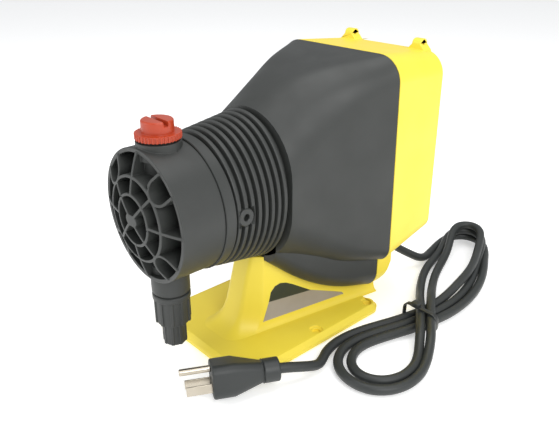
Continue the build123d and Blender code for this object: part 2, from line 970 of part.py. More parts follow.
def housing_gasket():
    """Flat gasket between the two housings, round the main body and the chin."""
    main = body_stations[-1][1:]
    chute = chute_stations[-1][1:]
    outer = station_face(housing_front_y, main, gasket_inset) + station_face(housing_front_y, chute, gasket_inset)
    inner = station_face(housing_front_y, main, gasket_land) + station_face(housing_front_y, chute, gasket_land)
    return extrude(outer - inner, gasket_thickness)


def control_panel():
    face = station_face(panel_rear, housing_sizes(panel_rear), housing_wall + gap)
    plate = extrude(face, panel_thickness)
    plate = plate + disc(panel_rear + dial_height, dial_height, dial_radius)
    plate = plate - disc(panel_rear + dial_height, panel_thickness + dial_height, stroke_shaft_radius + slip)
    speed_height = axis_height + speed_z
    plate = plate - disc(panel_rear, panel_thickness, speed_shaft_radius + slip, speed_x, speed_height)
    for x, z in post_places(panel_rear):
        plate = plate - disc(panel_rear, panel_thickness, case_screw_radius + gap, x, z)
    return plate


def case_screws():
    """Long screws that clamp the panel and the control housing to the power unit."""
    screws = []
    length = panel_rear - joint_y + boss_length - 4.0
    for x, z in post_places(panel_rear):
        shank = disc(panel_rear, length, case_screw_radius, x, z)
        head = disc(panel_rear + case_screw_head_height, case_screw_head_height, case_screw_head, x, z)
        slot_y = panel_rear + case_screw_head_height
        slot = extrude(front(slot_y, x, z) * Rectangle(3 * case_screw_head, 1.0), 1.2)
        screws.append(shank + head - slot)
    return screws


def grip_outline(radius, lobes, bite):
    outline = Circle(radius)
    for index in range(lobes):
        turn = index * 360 / lobes
        outline = outline - Rot(0, 0, turn) * (Pos(radius + bite * 0.45, 0) * Circle(bite))
    return outline


def stroke_knob():
    start = panel_rear + dial_height + gap
    end = panel_rear + stroke_knob_height
    skirt = disc(start + 2.5, 2.5, stroke_knob_radius)
    grip = extrude(front(end) * grip_outline(stroke_knob_radius - 3.0, 12, 2.2), end - start)
    pointer = extrude(front(start + 2.5 + 0.8, 0, axis_height + stroke_knob_radius - 2.2) * Rectangle(1.4, 3.6), 1.2)
    knob = skirt + grip + pointer
    return knob - disc(end - 2.0, end - 2.0 - start, stroke_shaft_radius)


def speed_knob():
    start = panel_rear + gap
    end = panel_rear + speed_knob_height
    height = axis_height + speed_z
    grip = extrude(front(end, speed_x, height) * grip_outline(speed_knob_radius, 8, 1.6), end - start)
    return grip - disc(end - 2.0, end - 2.0 - start, speed_shaft_radius, speed_x, height)


def speed_shaft():
    end = panel_rear + speed_knob_height - 2.0
    start = panel_front - 4.0
    return disc(end, end - start, speed_shaft_radius, speed_x, axis_height + speed_z)


def speed_potentiometer():
    height = axis_height + speed_z
    can = disc(panel_front, pot_depth, pot_radius, speed_x, height)
    return can - disc(panel_front, 4.0 + gap, speed_shaft_radius + slip, speed_x, height)


def board_places():
    return [(sx * (board_width / 2 - 5), axis_height + sz * (board_height / 2 - 5)) for sx in (-1, 1) for sz in (-1, 1)]


def circuit_board():
    board = extrude(front(board_rear) * Rectangle(board_width, board_height), board_thickness)
    board = board - disc(board_rear, board_thickness, stroke_shaft_radius + 2)
    for x, z in board_places():
        board = board - disc(board_rear, board_thickness, 1.6, x, z)
    return board


def board_standoffs():
    return [disc(panel_front, board_gap, standoff_radius, x, z) for x, z in board_places()]


def board_capacitor():
    return disc(board_rear - board_thickness, capacitor_height, capacitor_radius, -20.0, axis_height - 28.0)


def board_transformer():
    width, height, depth = transformer_size
    plane = front(board_rear - board_thickness, 16.0, axis_height + 26.0)
    return extrude(plane * Rectangle(width, height), depth)


# Base
def base_plan(inset=0.0):
    outline = Polyline(
        (-base_half_width, base_front),
        (base_half_width, base_front),
        (base_half_width, base_rear),
        (tongue_half_width, base_rear),
        (tongue_half_width, tongue_rear),
        (-tongue_half_width, tongue_rear),
        (-tongue_half_width, base_rear),
        (-base_half_width, base_rear),
        close=True,
    )
    plan = make_face(outline)
    front_corners = plan.vertices().group_by(Axis.Y)[0]
    plan = fillet(front_corners, base_front_corner)
    rear_corners = plan.vertices().group_by(Axis.X)[0] + plan.vertices().group_by(Axis.X)[-1]
    rear_corners = rear_corners.filter_by(lambda vertex: vertex.Y > base_rear - 1)
    plan = fillet(rear_corners, base_corner)
    return offset(plan, -inset) if inset else plan


def side_x(y, z):
    """Half width of the stand at a place on its flat side."""
    return side_start + side_spread * y - side_lean * z


def stand_face(z, nose_y, nose_half, shoulder_y, inset):
    rear = tongue_rear - 1.0 - inset
    right = [
        (nose_half - inset / 2, nose_y + inset),
        (side_x(shoulder_y, z) - inset, shoulder_y + inset / 2),
        (side_x(rear, z) - inset, rear),
    ]
    left = [(-x, y) for x, y in reversed(right)]
    return Plane(origin=(0, 0, z)) * make_face(Polyline(*right, *left, close=True))


def stand(inset=0.0):
    """Wedge-shaped stand that flares forward into the foot plate."""
    foot = stand_face(base_height - 2.0 - inset, -89.0, 12.0, -66.0, inset)
    waist = stand_face(base_height + flare_height, -76.0, 9.0, -61.0, inset)
    top = stand_face(pedestal_top, -60.0, 9.0, -54.0, inset)
    return loft([foot, waist], ruled=True) + loft([waist, top], ruled=True)


def housing_clearance(distance):
    """Room kept clear round the power unit and the control housing."""
    space = station_loft(chute_stations, -distance) + station_loft(body_stations, -distance)
    space = space + disc(fin_end_y + 1, finned_length, fin_last_half_height + distance)
    box_bottom = chute_stations[-1][4] - distance
    box_height = 200.0
    box_length = 100.0
    return space + Pos(0, joint_y + box_length / 2, box_bottom + box_height / 2) * Box(300, box_length, box_height)


def label_face(inset=0.0):
    points = [(side_x(y, z), y, z) for y, z in label_outline]
    face = make_face(Polyline(*points, close=True))
    return offset(face, -inset) if inset else face


def side_normal():
    return Vector(1, -side_spread, side_lean).normalized()


def base_screw_places():
    return [(side * base_screw_x, base_screw_y) for side in (-1, 1)]


def base():
    plate = extrude(base_plan(), base_height)
    plate = chamfer(plate.edges().group_by(Axis.Z)[-1], base_bevel)
    solid = plate + (stand() - housing_clearance(gap))
    hollow = extrude(base_plan(base_wall + base_bevel / 2), base_height - base_wall)
    places = [(sx * hole_spacing_x / 2, sy * hole_spacing_y / 2) for sx in (-1, 1) for sy in (-1, 1)]
    for x, y in places:
        hollow = hollow - Pos(x, y, 0) * Cylinder(hole_boss, 3 * base_height)
    hollow = hollow + (stand(base_wall) - housing_clearance(gap + base_wall))
    for x, y in base_screw_places():
        hollow = hollow - Pos(x, y, base_screw_seat + 20) * Cylinder(base_boss_radius, 40)
    solid = solid - hollow
    for x, y in places:
        solid = solid - Pos(x, y, 0) * Cylinder(base_hole, 3 * base_height)
        solid = solid - Pos(x, y, base_height) * Cylinder(base_dimple, 2 * base_dimple_depth)
    for x, y in base_screw_places():
        solid = solid - Pos(x, y, 0) * Cylinder(base_screw_radius + gap, 80)
    return solid - extrude(label_face(), label_depth, dir=-side_normal())


def base_screws():
    screws = []
    for x, y in base_screw_places():
        shank = Pos(x, y, base_screw_seat + base_screw_length / 2) * Cylinder(base_screw_radius, base_screw_length)
        head = Pos(x, y, base_screw_seat - 1.25) * Cylinder(base_screw_head, 2.5)
        screws.append(shank + head)
    return screws


def label_plate():
    """Blank plate let into the flat side of the stand."""
    inward = -side_normal()
    plate = extrude(label_face(gap), label_thickness, dir=inward)
    return Pos(*(inward * (label_depth - label_thickness))) * plate


# Mains cord, gland and plug
def cord_gland():
    hole = cord_radius + slip
    flange = ring(gland_seat + gland_flange, gland_flange, gland_radius, hole, gland_x, gland_z)
    neck = ring(gland_seat, gland_seat - 44.0, gland_radius - 2.0 - slip, hole, gland_x, gland_z)
    return flange + neck


def strain_relief():
    start = gland_seat + gland_flange
    plane = Plane(origin=(gland_x, start, gland_z), x_dir=(1, 0, 0), z_dir=(0, 1, 0))
    sleeve_body = plane * Cone(
        relief_front_radius, relief_rear_radius, relief_length, align=(Align.CENTER, Align.CENTER, Align.MIN)
    )
    bore = extrude(plane * Circle(cord_radius + slip), relief_length)
    return sleeve_body - bore


def route_radii(points):
    """Bend radius at each inner point, from the shorter run and half the turn."""
    radii = []
    for before, here, after in zip(points, points[1:], points[2:]):
        first = Vector(*here) - Vector(*before)
        second = Vector(*after) - Vector(*here)
        half_turn = math.radians(first.get_angle(second) / 2)
        radii.append(0.45 * min(first.length, second.length) / math.tan(half_turn))
    return radii


def cord_tube(points):
    radii = route_radii(points)
    print("bend radii", [round(radius, 1) for radius in radii])
    path = FilletPolyline(*points, radius=radii)
    section = Plane(origin=path @ 0, z_dir=path % 0) * Circle(cord_radius)
    tube = sweep(section, path=path)
    expected = math.pi * cord_radius ** 2 * path.length
    print("tube volume", round(tube.volume), "section times length", round(expected))
    return tube


def lobe(outline, hole):
    outer = make_face(Spline(*outline, periodic=True))
    inner = make_face(Spline(*hole, periodic=True))
    return extrude(outer - inner, hank_height)


def cord_hank():
    """Outer shape of the tied figure-eight of cord that lies on the floor."""
    middle = Pos(tie_centre[0], tie_centre[1], tie_height / 2) * Box(*tie_block, tie_height)
    coil = lobe(far_lobe, far_hole) + lobe(near_lobe, near_hole) + middle
    slot = Box(2 * tie_block[0], tie_width + 2 * gap, 2 * tie_lift)
    return coil - Pos(tie_centre[0], tie_centre[1], 0) * slot


def cord_tie():
    """Flat band round the waist of the coil, clear of the floor."""
    wide = tie_block[0] + 2 * gap
    high = tie_height - tie_lift + 2 * gap
    place = Pos(tie_centre[0], tie_centre[1], (tie_height + tie_lift) / 2)
    band = Box(wide + 2 * tie_band, tie_width, high + 2 * tie_band) - Box(wide, tie_width, high)
    return place * band


def plug_plane(distance=0.0):
    """Plane of the plug face: local X across the blades, local Y towards the ground pin."""
    heading = math.radians(plug_heading)
    along = Vector(math.cos(heading), math.sin(heading), 0)
    origin = Vector(*plug_face) + along * distance
    roll = math.radians(plug_roll)
    across = (-math.sin(heading) * math.cos(roll), math.cos(heading) * math.cos(roll), math.sin(roll))
    return Plane(origin=origin, x_dir=across, z_dir=along)


def tail_points():
    """Route of the cord from the coil into the plug's collar."""
    collar_end = plug_body_length + plug_neck + plug_collar_length
    ends = [plug_plane(collar_end + tail_bend).origin, plug_plane(collar_end - tail_grip).origin]
    return [*tail_route, *(end.to_tuple() for end in ends)]


def plug_body():
    start = plug_plane() * RectangleRounded(plug_width, plug_tall, 6.0)
    middle = plug_plane(plug_body_length * 0.55) * RectangleRounded(plug_width, plug_tall, 6.0)
    neck_place = plug_body_length + plug_neck
    end = plug_plane(neck_place) * RectangleRounded(1.7 * plug_collar_radius, 1.7 * plug_collar_radius, 6.0)
    block = loft([start, middle], ruled=True) + loft([middle, end], ruled=True)
    collar = extrude(plug_plane(neck_place) * Circle(plug_collar_radius), plug_collar_length)
    return block + collar - extrude(plug_plane(neck_place) * Circle(cord_radius + gap), plug_collar_length)


def plug_blades():
    blades = []
    for side in (-1, 1):
        outline = Pos(side * blade_gap / 2, -ground_offset / 3) * Rectangle(blade_thickness, blade_width)
        blade = extrude(plug_plane() * outline, -blade_length)
        blades.append(blade)
    return blades


def plug_ground_pin():
    outline = Pos(0, ground_offset * 2 / 3) * Circle(ground_radius)
    return extrude(plug_plane() * outline, -ground_length)


def build_nodes():
    discharge_seat_top = discharge_base + seat_thickness
    return {
        "pump_head": pump_head(),
        "head_screws": head_screws(),
        "head_washers": head_washers(),
        "diaphragm": diaphragm(),
        "diaphragm_insert": diaphragm_insert(),
        "diaphragm_support": diaphragm_support(),
        "discharge_seat": seat_ring(discharge_base),
        "discharge_ball": ball(discharge_seat_top),
        "discharge_cage": cage(discharge_seat_top, valve_bore - slip),
        "plug_gasket": plug_gasket(),
        "vent_plug": vent_plug(),
        "suction_gasket": suction_gasket_ring(),
        "suction_valve_housing": suction_valve_housing(),
        "suction_seat": suction_seat(),
        "suction_ball": ball(suction_seat_top),
        "suction_cage": cage(suction_seat_top, spigot_bore - slip),
        "coupling_nut": coupling_nut(),
        "tube_ferrule": tube_ferrule(),
        "power_unit_housing": power_unit_housing(),
        "shaft_wiper": shaft_wiper(),
        "shaft_bushing": shaft_bushing(),
        "pole_plate": pole_plate(),
        "pole_piece": pole_piece(),
        "armature": armature(),
        "armature_shaft": armature_shaft(),
        "coil_bobbin": coil_bobbin(),
        "coil_winding": coil_winding(),
        "yoke_shell": yoke_shell(),
        "yoke_rear_plate": yoke_rear_plate(),
        "return_spring": return_spring(),
        "stop_bracket": stop_bracket(),
        "bracket_screws": bracket_screws(),
        "stroke_stop": stroke_stop(),
        "stroke_shaft": stroke_shaft(),
        "rear_housing": rear_housing(),
        "housing_gasket": housing_gasket(),
        "control_panel": control_panel(),
        "case_screws": case_screws(),
        "stroke_knob": stroke_knob(),
        "speed_knob": speed_knob(),
        "speed_shaft": speed_shaft(),
        "speed_potentiometer": speed_potentiometer(),
        "circuit_board": circuit_board(),
        "board_standoffs": board_standoffs(),
        "board_capacitor": board_capacitor(),
        "board_transformer": board_transformer(),
        "base": base(),
        "base_screws": base_screws(),
        "label_plate": label_plate(),
        "cord_gland": cord_gland(),
        "strain_relief": strain_relief(),
        "cord_exit": cord_tube(exit_route),
        "cord_hank": cord_hank(),
        "cord_tie": cord_tie(),
        "cord_tail": cord_tube(tail_points()),
        "plug_body": plug_body(),
        "plug_blades": plug_blades(),
        "plug_ground_pin": plug_ground_pin(),
    }


os.makedirs("parts", exist_ok=True)
for name, shape in build_nodes().items():
    if isinstance(shape, list):
        shape = Compound(children=shape)
    export_step(shape, f"parts/{name}.step")
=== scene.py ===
"""Visual model of a diaphragm metering pump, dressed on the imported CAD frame.

Every size is in metres in the row frame: +Z up, the liquid end towards -Y, the mains cord on the +X side.
"""

import json
import logging
import math
from dataclasses import dataclass
from enum import Enum
from typing import Iterable, Sequence

import bmesh
import bpy
from mathutils import Matrix, Vector


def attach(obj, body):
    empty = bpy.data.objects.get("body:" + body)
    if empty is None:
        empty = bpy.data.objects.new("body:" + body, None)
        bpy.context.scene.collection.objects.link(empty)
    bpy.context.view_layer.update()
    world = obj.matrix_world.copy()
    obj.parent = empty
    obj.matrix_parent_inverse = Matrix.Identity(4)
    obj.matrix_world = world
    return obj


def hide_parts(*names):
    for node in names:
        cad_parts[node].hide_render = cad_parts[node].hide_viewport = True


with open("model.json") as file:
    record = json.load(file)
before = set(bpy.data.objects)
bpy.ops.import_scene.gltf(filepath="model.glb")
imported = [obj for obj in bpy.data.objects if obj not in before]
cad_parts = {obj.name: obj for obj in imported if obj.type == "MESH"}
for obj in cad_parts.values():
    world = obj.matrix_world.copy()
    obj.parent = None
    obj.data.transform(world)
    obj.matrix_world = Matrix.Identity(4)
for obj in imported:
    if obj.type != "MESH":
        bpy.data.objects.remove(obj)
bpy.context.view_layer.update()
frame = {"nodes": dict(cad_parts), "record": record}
MM = 0.001
log = logging.getLogger("pump")
Point = tuple[float, float, float]


class Texture(Enum):
    """How a surface was made, which sets its fine relief."""

    GRAIN = "spark-eroded mould grain"
    SMOOTH = "polished mould or jacket"
    BRUSHED = "drawn or ground metal"
    TURNED = "turned metal"
    WOUND = "wound wire"
    FIBRED = "woven laminate under solder resist"


@dataclass(frozen=True)
class Finish:
    """One material as it is made and seen.

    Args:
        name: Material name, the record's slot.
        base: Main colour as sRGB hex.
        shade: Second colour that the slow variation mixes in.
        roughness: Mean roughness.
        texture: How the surface was made.
        pitch_mm: Size of the fine relief.
        relief_mm: Height of the fine relief.
        metallic: 1 for bare metal.
        spread: Change of roughness over the surface.
        coat: Clear gloss over the colour.
    """

    name: str
    base: str
    shade: str
    roughness: float
    texture: Texture = Texture.GRAIN
    pitch_mm: float = 0.6
    relief_mm: float = 0.03
    metallic: float = 0.0
    spread: float = 0.12
    coat: float = 0.0


# Black glass-filled moulding: an even satin grain with a slow random change of tone.
BLACK = Finish("black_moulding", "#343634", "#2D2F2D", 0.5, Texture.GRAIN, 0.5, 0.02)
# Yellow moulded housing: smooth satin with the faint flow clouds of a tinted plastic.
YELLOW = Finish("yellow_plastic", "#F6DF4A", "#EFD640", 0.42, Texture.GRAIN, 0.8, 0.012, spread=0.08)
# Red cap: a glossier tinted moulding, so its knurls and slot carry bright lines.
RED = Finish("red_plastic", "#B4401F", "#A73718", 0.34, Texture.SMOOTH, 0.9, 0.01)
# Turned white fluoroplastic: waxy, with fine tool rings.
WHITE = Finish("white_plastic", "#E4E3DC", "#DAD9D0", 0.45, Texture.TURNED, 0.35, 0.012)
# Control panel: matt black with a fine eroded grain that kills reflections.
PANEL = Finish("panel_black", "#2C2E2D", "#252726", 0.62, Texture.GRAIN, 0.35, 0.03)
# Knobs: dense black with a slight polish from fingers.
KNOB = Finish("knob_black", "#303231", "#292B2A", 0.4, Texture.SMOOTH, 0.5, 0.012)
# Circuit board: green resist over a woven laminate, whose threads just show.
BOARD = Finish("board_green", "#1F6B3E", "#195A34", 0.35, Texture.FIBRED, 0.8, 0.02)
# Capacitor: a shrunk dark blue sleeve.
SLEEVE = Finish("capacitor_sleeve", "#2A2F5A", "#23284D", 0.3, Texture.SMOOTH, 0.8, 0.01)
# Seals: dull moulded rubber with a dusting of bloom.
RUBBER = Finish("dark_rubber", "#2B2C2B", "#353634", 0.72, Texture.GRAIN, 0.4, 0.02)
# Diaphragm: a moulded rubber disc, a shade paler than the seals.
DIAPHRAGM = Finish("diaphragm_rubber", "#343534", "#3C3D3B", 0.66, Texture.GRAIN, 0.5, 0.015)
# Cord jacket: soft extruded plastic with a low sheen along its run.
JACKET = Finish("cord_black", "#303332", "#292C2B", 0.5, Texture.SMOOTH, 0.7, 0.02)
# Ceramic ball: hard, white and polished.
CERAMIC = Finish("ceramic_ball", "#F2F0EA", "#ECEAE2", 0.12, Texture.SMOOTH, 0.8, 0.003, coat=0.5)
# Stainless steel: drawn bar with fine lines round it.
STEEL = Finish("stainless", "#BDBDB9", "#ADADA8", 0.3, Texture.TURNED, 0.2, 0.008, 1.0)
# Zinc plate: a slightly blue, mottled matt metal.
ZINC = Finish("zinc_plate", "#B4B6B2", "#A2A5A4", 0.42, Texture.BRUSHED, 0.3, 0.01, 1.0)
# Nickel plate on the blades: bright, with rub lines along the blade.
NICKEL = Finish("nickel_blade", "#C9C1B2", "#B7AE9E", 0.26, Texture.BRUSHED, 0.25, 0.006, 1.0)
# Soft iron: dark machined metal under a thin oxide.
IRON = Finish("soft_iron", "#6B6B6C", "#5B5B5D", 0.46, Texture.TURNED, 0.3, 0.012, 1.0)
# Transformer stack: punched sheets on edge, so fine lines run across it.
LAMINATION = Finish("transformer_iron", "#55524F", "#474441", 0.5, Texture.BRUSHED, 0.5, 0.03, 0.8)
# Sintered bronze: a warm metal with open pores.
BRONZE = Finish("bronze", "#B98A4C", "#A0763E", 0.48, Texture.GRAIN, 0.25, 0.02, 1.0)
# Winding: rows of enamelled wire round the bobbin.
WINDING = Finish("copper_winding", "#B0622F", "#95501F", 0.3, Texture.WOUND, 0.6, 0.12, 1.0)
FINISHES: dict[str, Finish] = {
    finish.name: finish
    for finish in (
        BLACK, YELLOW, RED, WHITE, PANEL, KNOB, BOARD, SLEEVE, RUBBER, DIAPHRAGM, JACKET, CERAMIC,
        STEEL, ZINC, NICKEL, IRON, LAMINATION, BRONZE, WINDING,
    )
}


# Ends of the line between the label's two fields: place along the pump and height, in millimetres.
SPLIT_START = (-53.9, 28.4)
SPLIT_END = (-15.4, 26.7)


def linear(code: str) -> tuple[float, float, float, float]:
    """Turns an sRGB hex colour into linear light.

    Args:
        code: Colour such as "#F6DF4A".

    Returns:
        Red, green, blue and 1.
    """
    parts = [int(code[place:place + 2], 16) / 255 for place in (1, 3, 5)]
    red, green, blue = [
        part / 12.92 if part <= 0.04045 else ((part + 0.055) / 1.055) ** 2.4 for part in parts
    ]
    return red, green, blue, 1.0


class Painter:
    """Makes each material once."""

    def __init__(self) -> None:
        self.made: dict[str, bpy.types.Material] = {}

    def add(
        self, tree: bpy.types.NodeTree, kind: str, inputs: dict | None = None, **settings
    ) -> bpy.types.Node:
        """Adds one node.

        Args:
            tree: Node tree of the material.
            kind: Node type without its ShaderNode prefix.
            inputs: Socket name or number to a value or an output socket.
            settings: Properties of the node.

        Returns:
            The node.
        """
        node = tree.nodes.new("ShaderNode" + kind)
        for key, value in settings.items():
            setattr(node, key, value)
        for key, value in (inputs or {}).items():
            if isinstance(value, bpy.types.NodeSocket):
                tree.links.new(value, node.inputs[key])
            else:
                node.inputs[key].default_value = value
        return node

    def start(self, name: str) -> tuple[bpy.types.Material, bpy.types.NodeTree, bpy.types.Node]:
        """Opens a material that has only its shader.

        Args:
            name: Material name.

        Returns:
            The material, its tree and its Principled shader.
        """
        material = bpy.data.materials.new(name)
        material.use_nodes = True
        tree = material.node_tree
        tree.nodes.clear()
        shader = self.add(tree, "BsdfPrincipled")
        self.add(tree, "OutputMaterial", {"Surface": shader.outputs["BSDF"]})
        return material, tree, shader

    def relief(
        self, tree: bpy.types.NodeTree, place: bpy.types.NodeSocket, finish: Finish
    ) -> bpy.types.NodeSocket:
        """Fine height pattern of a finish.

        Args:
            tree: Node tree of the material.
            place: Object coordinates in metres.
            finish: What the surface is.

        Returns:
            A height from 0 to 1.
        """
        per_metre = 1 / (finish.pitch_mm * MM)
        if finish.texture in (Texture.BRUSHED, Texture.TURNED):
            stretch = (0.06, 1.0, 1.0) if finish.texture is Texture.BRUSHED else (0.15, 1.0, 0.15)
            mapped = self.add(tree, "Mapping", {"Vector": place, "Scale": stretch})
            lines = self.add(
                tree, "TexNoise", {"Vector": mapped.outputs[0], "Scale": per_metre, "Detail": 2.0}
            )
            return lines.outputs[0]
        if finish.texture in (Texture.WOUND, Texture.FIBRED):
            wave = self.add(
                tree, "TexWave", {"Vector": place, "Scale": per_metre / (2 * math.pi), "Distortion": 0.0},
                bands_direction="Y" if finish.texture is Texture.WOUND else "Z",
            )
            if finish.texture is Texture.WOUND:
                return wave.outputs["Fac"]
            across = self.add(
                tree, "TexWave", {"Vector": place, "Scale": per_metre / (2 * math.pi)}, bands_direction="X"
            )
            return self.add(
                tree, "Math", {0: wave.outputs["Fac"], 1: across.outputs["Fac"]}, operation="MULTIPLY"
            ).outputs[0]
        detail = 3.0 if finish.texture is Texture.GRAIN else 1.0
        noise = self.add(
            tree, "TexNoise", {"Vector": place, "Scale": per_metre, "Detail": detail, "Roughness": 0.6}
        )
        return noise.outputs[0]

    def paint(self, name: str) -> bpy.types.Material:
        """Gives the material of a slot.

        Args:
            name: Material slot of the record.

        Returns:
            The material, made on first use.
        """
        if name in self.made:
            return self.made[name]
        if name == "label_foil":
            self.made[name] = self.foil()
            return self.made[name]
        finish = FINISHES[name]
        material, tree, shader = self.start(name)
        place = self.add(tree, "TexCoord").outputs["Object"]
        slow = self.add(tree, "TexNoise", {"Vector": place, "Scale": 38.0, "Detail": 3.0}).outputs[0]
        colour = self.add(
            tree, "Mix", {"Factor": slow, "A": linear(finish.base), "B": linear(finish.shade)},
            data_type="RGBA",
        )
        colour_out = colour.outputs["Result"]
        grain = self.relief(tree, place, finish)
        low = max(0.05, finish.roughness - finish.spread / 2)
        rough = self.add(
            tree, "MapRange", {"Value": slow, "From Min": 0.3, "From Max": 0.7, "To Min": low,
                               "To Max": finish.roughness + finish.spread / 2},
        )
        bump = self.add(tree, "Bump", {"Height": grain, "Strength": 0.6, "Distance": finish.relief_mm * MM})
        tree.links.new(colour_out, shader.inputs["Base Color"])
        tree.links.new(rough.outputs[0], shader.inputs["Roughness"])
        tree.links.new(bump.outputs[0], shader.inputs["Normal"])
        shader.inputs["Metallic"].default_value = finish.metallic
        shader.inputs["Coat Weight"].default_value = finish.coat
        self.made[name] = material
        log.info("material %s, %s", name, finish.texture.value)
        return material

    def foil(self) -> bpy.types.Material:
        """Blank label: a satin grey foil with a dark field above a straight line.

        Returns:
            The material.
        """
        material, tree, shader = self.start("label_foil")
        place = self.add(tree, "TexCoord").outputs["Object"]
        axes = self.add(tree, "SeparateXYZ", {0: place})
        slope = (SPLIT_END[1] - SPLIT_START[1]) / (SPLIT_END[0] - SPLIT_START[0])
        height = (SPLIT_START[1] - slope * SPLIT_START[0]) * MM
        line = self.add(
            tree, "Math", {0: axes.outputs["Y"], 1: slope, 2: height}, operation="MULTIPLY_ADD"
        )
        above = self.add(tree, "Math", {0: axes.outputs["Z"], 1: line.outputs[0]}, operation="GREATER_THAN")
        slow = self.add(tree, "TexNoise", {"Vector": place, "Scale": 60.0, "Detail": 2.0}).outputs[0]
        grey = self.add(
            tree, "Mix", {"Factor": slow, "A": linear("#A79F96"), "B": linear("#998F80")}, data_type="RGBA"
        )
        both = self.add(
            tree, "Mix", {"Factor": above.outputs[0], "A": grey.outputs["Result"], "B": linear("#2F3630")},
            data_type="RGBA",
        )
        fine = self.add(tree, "TexNoise", {"Vector": place, "Scale": 2500.0}).outputs[0]
        bump = self.add(tree, "Bump", {"Height": fine, "Strength": 0.3, "Distance": 0.01 * MM})
        tree.links.new(both.outputs["Result"], shader.inputs["Base Color"])
        tree.links.new(bump.outputs[0], shader.inputs["Normal"])
        shader.inputs["Roughness"].default_value = 0.38
        return material


class Workshop:
    """Turns mesh code and CAD nodes into dressed pieces that ride on their bodies."""

    def __init__(self, painter: Painter) -> None:
        self.painter = painter
        record = frame["record"]
        self.body_of = {node: body for body, nodes in record["behaviour"]["bodies"].items() for node in nodes}
        self.slot_of = {item["node"]: item["material_slot"] for item in record["subparts"]}
        self.softened: set[str] = set()

    def finish(self, name: str, mesh: bpy.types.Mesh, slot: str, body: str) -> bpy.types.Object:
        """Makes an object of a mesh whose places are in the row frame.

        Args:
            name: Piece name.
            mesh: The mesh.
            slot: Material slot.
            body: CAD body it moves with.

        Returns:
            The object.
        """
        piece = bpy.data.objects.new(name, mesh)
        bpy.context.scene.collection.objects.link(piece)
        mesh.materials.clear()
        mesh.materials.append(self.painter.paint(slot))
        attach(piece, body)
        log.info("piece %s on %s, %d faces", name, body, len(mesh.polygons))
        return piece

    def from_bmesh(
        self, name: str, bm: bmesh.types.BMesh, slot: str, body: str, angle: float = 35.0
    ) -> bpy.types.Object:
        """Closes, turns outwards and smooths a mesh, then makes its object.

        Args:
            name: Piece name.
            bm: Mesh under construction, freed here.
            slot: Material slot.
            body: CAD body it moves with.
            angle: Edges sharper than this many degrees stay crisp.

        Returns:
            The object.
        """
        bmesh.ops.remove_doubles(bm, verts=bm.verts, dist=0.002 * MM)
        bmesh.ops.recalc_face_normals(bm, faces=bm.faces)
        mesh = bpy.data.meshes.new(name)
        bm.to_mesh(mesh)
        bm.free()
        mesh.shade_smooth()
        mesh.set_sharp_from_angle(angle=math.radians(angle))
        return self.finish(name, mesh, slot, body)

    def bevel(self, piece: bpy.types.Object, width_mm: float, angle: float = 32.0) -> None:
        """Rounds the edges of a piece as a mould or a tool leaves them.

        Args:
            piece: The piece.
            width_mm: Width of the rounding.
            angle: Edges flatter than this many degrees are left.
        """
        modifier = piece.modifiers.new("edges", "BEVEL")
        modifier.width = width_mm * MM
        modifier.segments = 2
        modifier.limit_method = "ANGLE"
        modifier.angle_limit = math.radians(angle)
        modifier.use_clamp_overlap = False
        weighted = piece.modifiers.new("normals", "WEIGHTED_NORMAL")
        weighted.keep_sharp = True

    def soften(self, node: str, width_mm: float = 0.35) -> bpy.types.Object:
        """Copies a CAD node, merges its triangles and rounds its edges.

        Args:
            node: CAD node, which the copy stands for.
            width_mm: Width of the rounding.

        Returns:
            The copy.
        """
        bm = bmesh.new()
        bm.from_mesh(frame["nodes"][node].data)
        bmesh.ops.remove_doubles(bm, verts=bm.verts, dist=0.004 * MM)
        bmesh.ops.dissolve_limit(
            bm, angle_limit=math.radians(0.8), verts=bm.verts, edges=bm.edges, use_dissolve_boundaries=False
        )
        mesh = bpy.data.meshes.new(node + "_soft")
        bm.to_mesh(mesh)
        bm.free()
        mesh.shade_smooth()
        mesh.set_sharp_from_angle(angle=math.radians(32))
        piece = self.finish(node + "_soft", mesh, self.slot_of[node], self.body_of[node])
        if width_mm:
            self.bevel(piece, width_mm)
        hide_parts(node)
        self.softened.add(node)
        return piece

    def dress(self, replaced: Iterable[str]) -> None:
        """Gives every CAD node that still shows its material.

        Args:
            replaced: Nodes that another piece stands for.
        """
        hidden = set(replaced) | self.softened
        for name, node in frame["nodes"].items():
            if name in hidden:
                continue
            material = self.painter.paint(self.slot_of[name])
            if not node.material_slots:
                node.data.materials.append(material)
            for place in node.material_slots:
                place.link = "OBJECT"
                place.material = material


def loop_faces(bm: bmesh.types.BMesh, rings: Sequence[Sequence[bmesh.types.BMVert]]) -> None:
    """Joins closed rings of equal count with quads.

    Args:
        bm: Mesh.
        rings: Rings in order.
    """
    for first, second in zip(rings, rings[1:]):
        count = len(first)
        for index in range(count):
            after = (index + 1) % count
            bm.faces.new((first[index], first[after], second[after], second[index]))


def ring_at(bm: bmesh.types.BMesh, points: Iterable[Point]) -> list[bmesh.types.BMVert]:
    """Adds one ring of vertices.

    Args:
        bm: Mesh.
        points: Places in millimetres.

    Returns:
        The vertices.
    """
    return [bm.verts.new(Vector(point) * MM) for point in points]


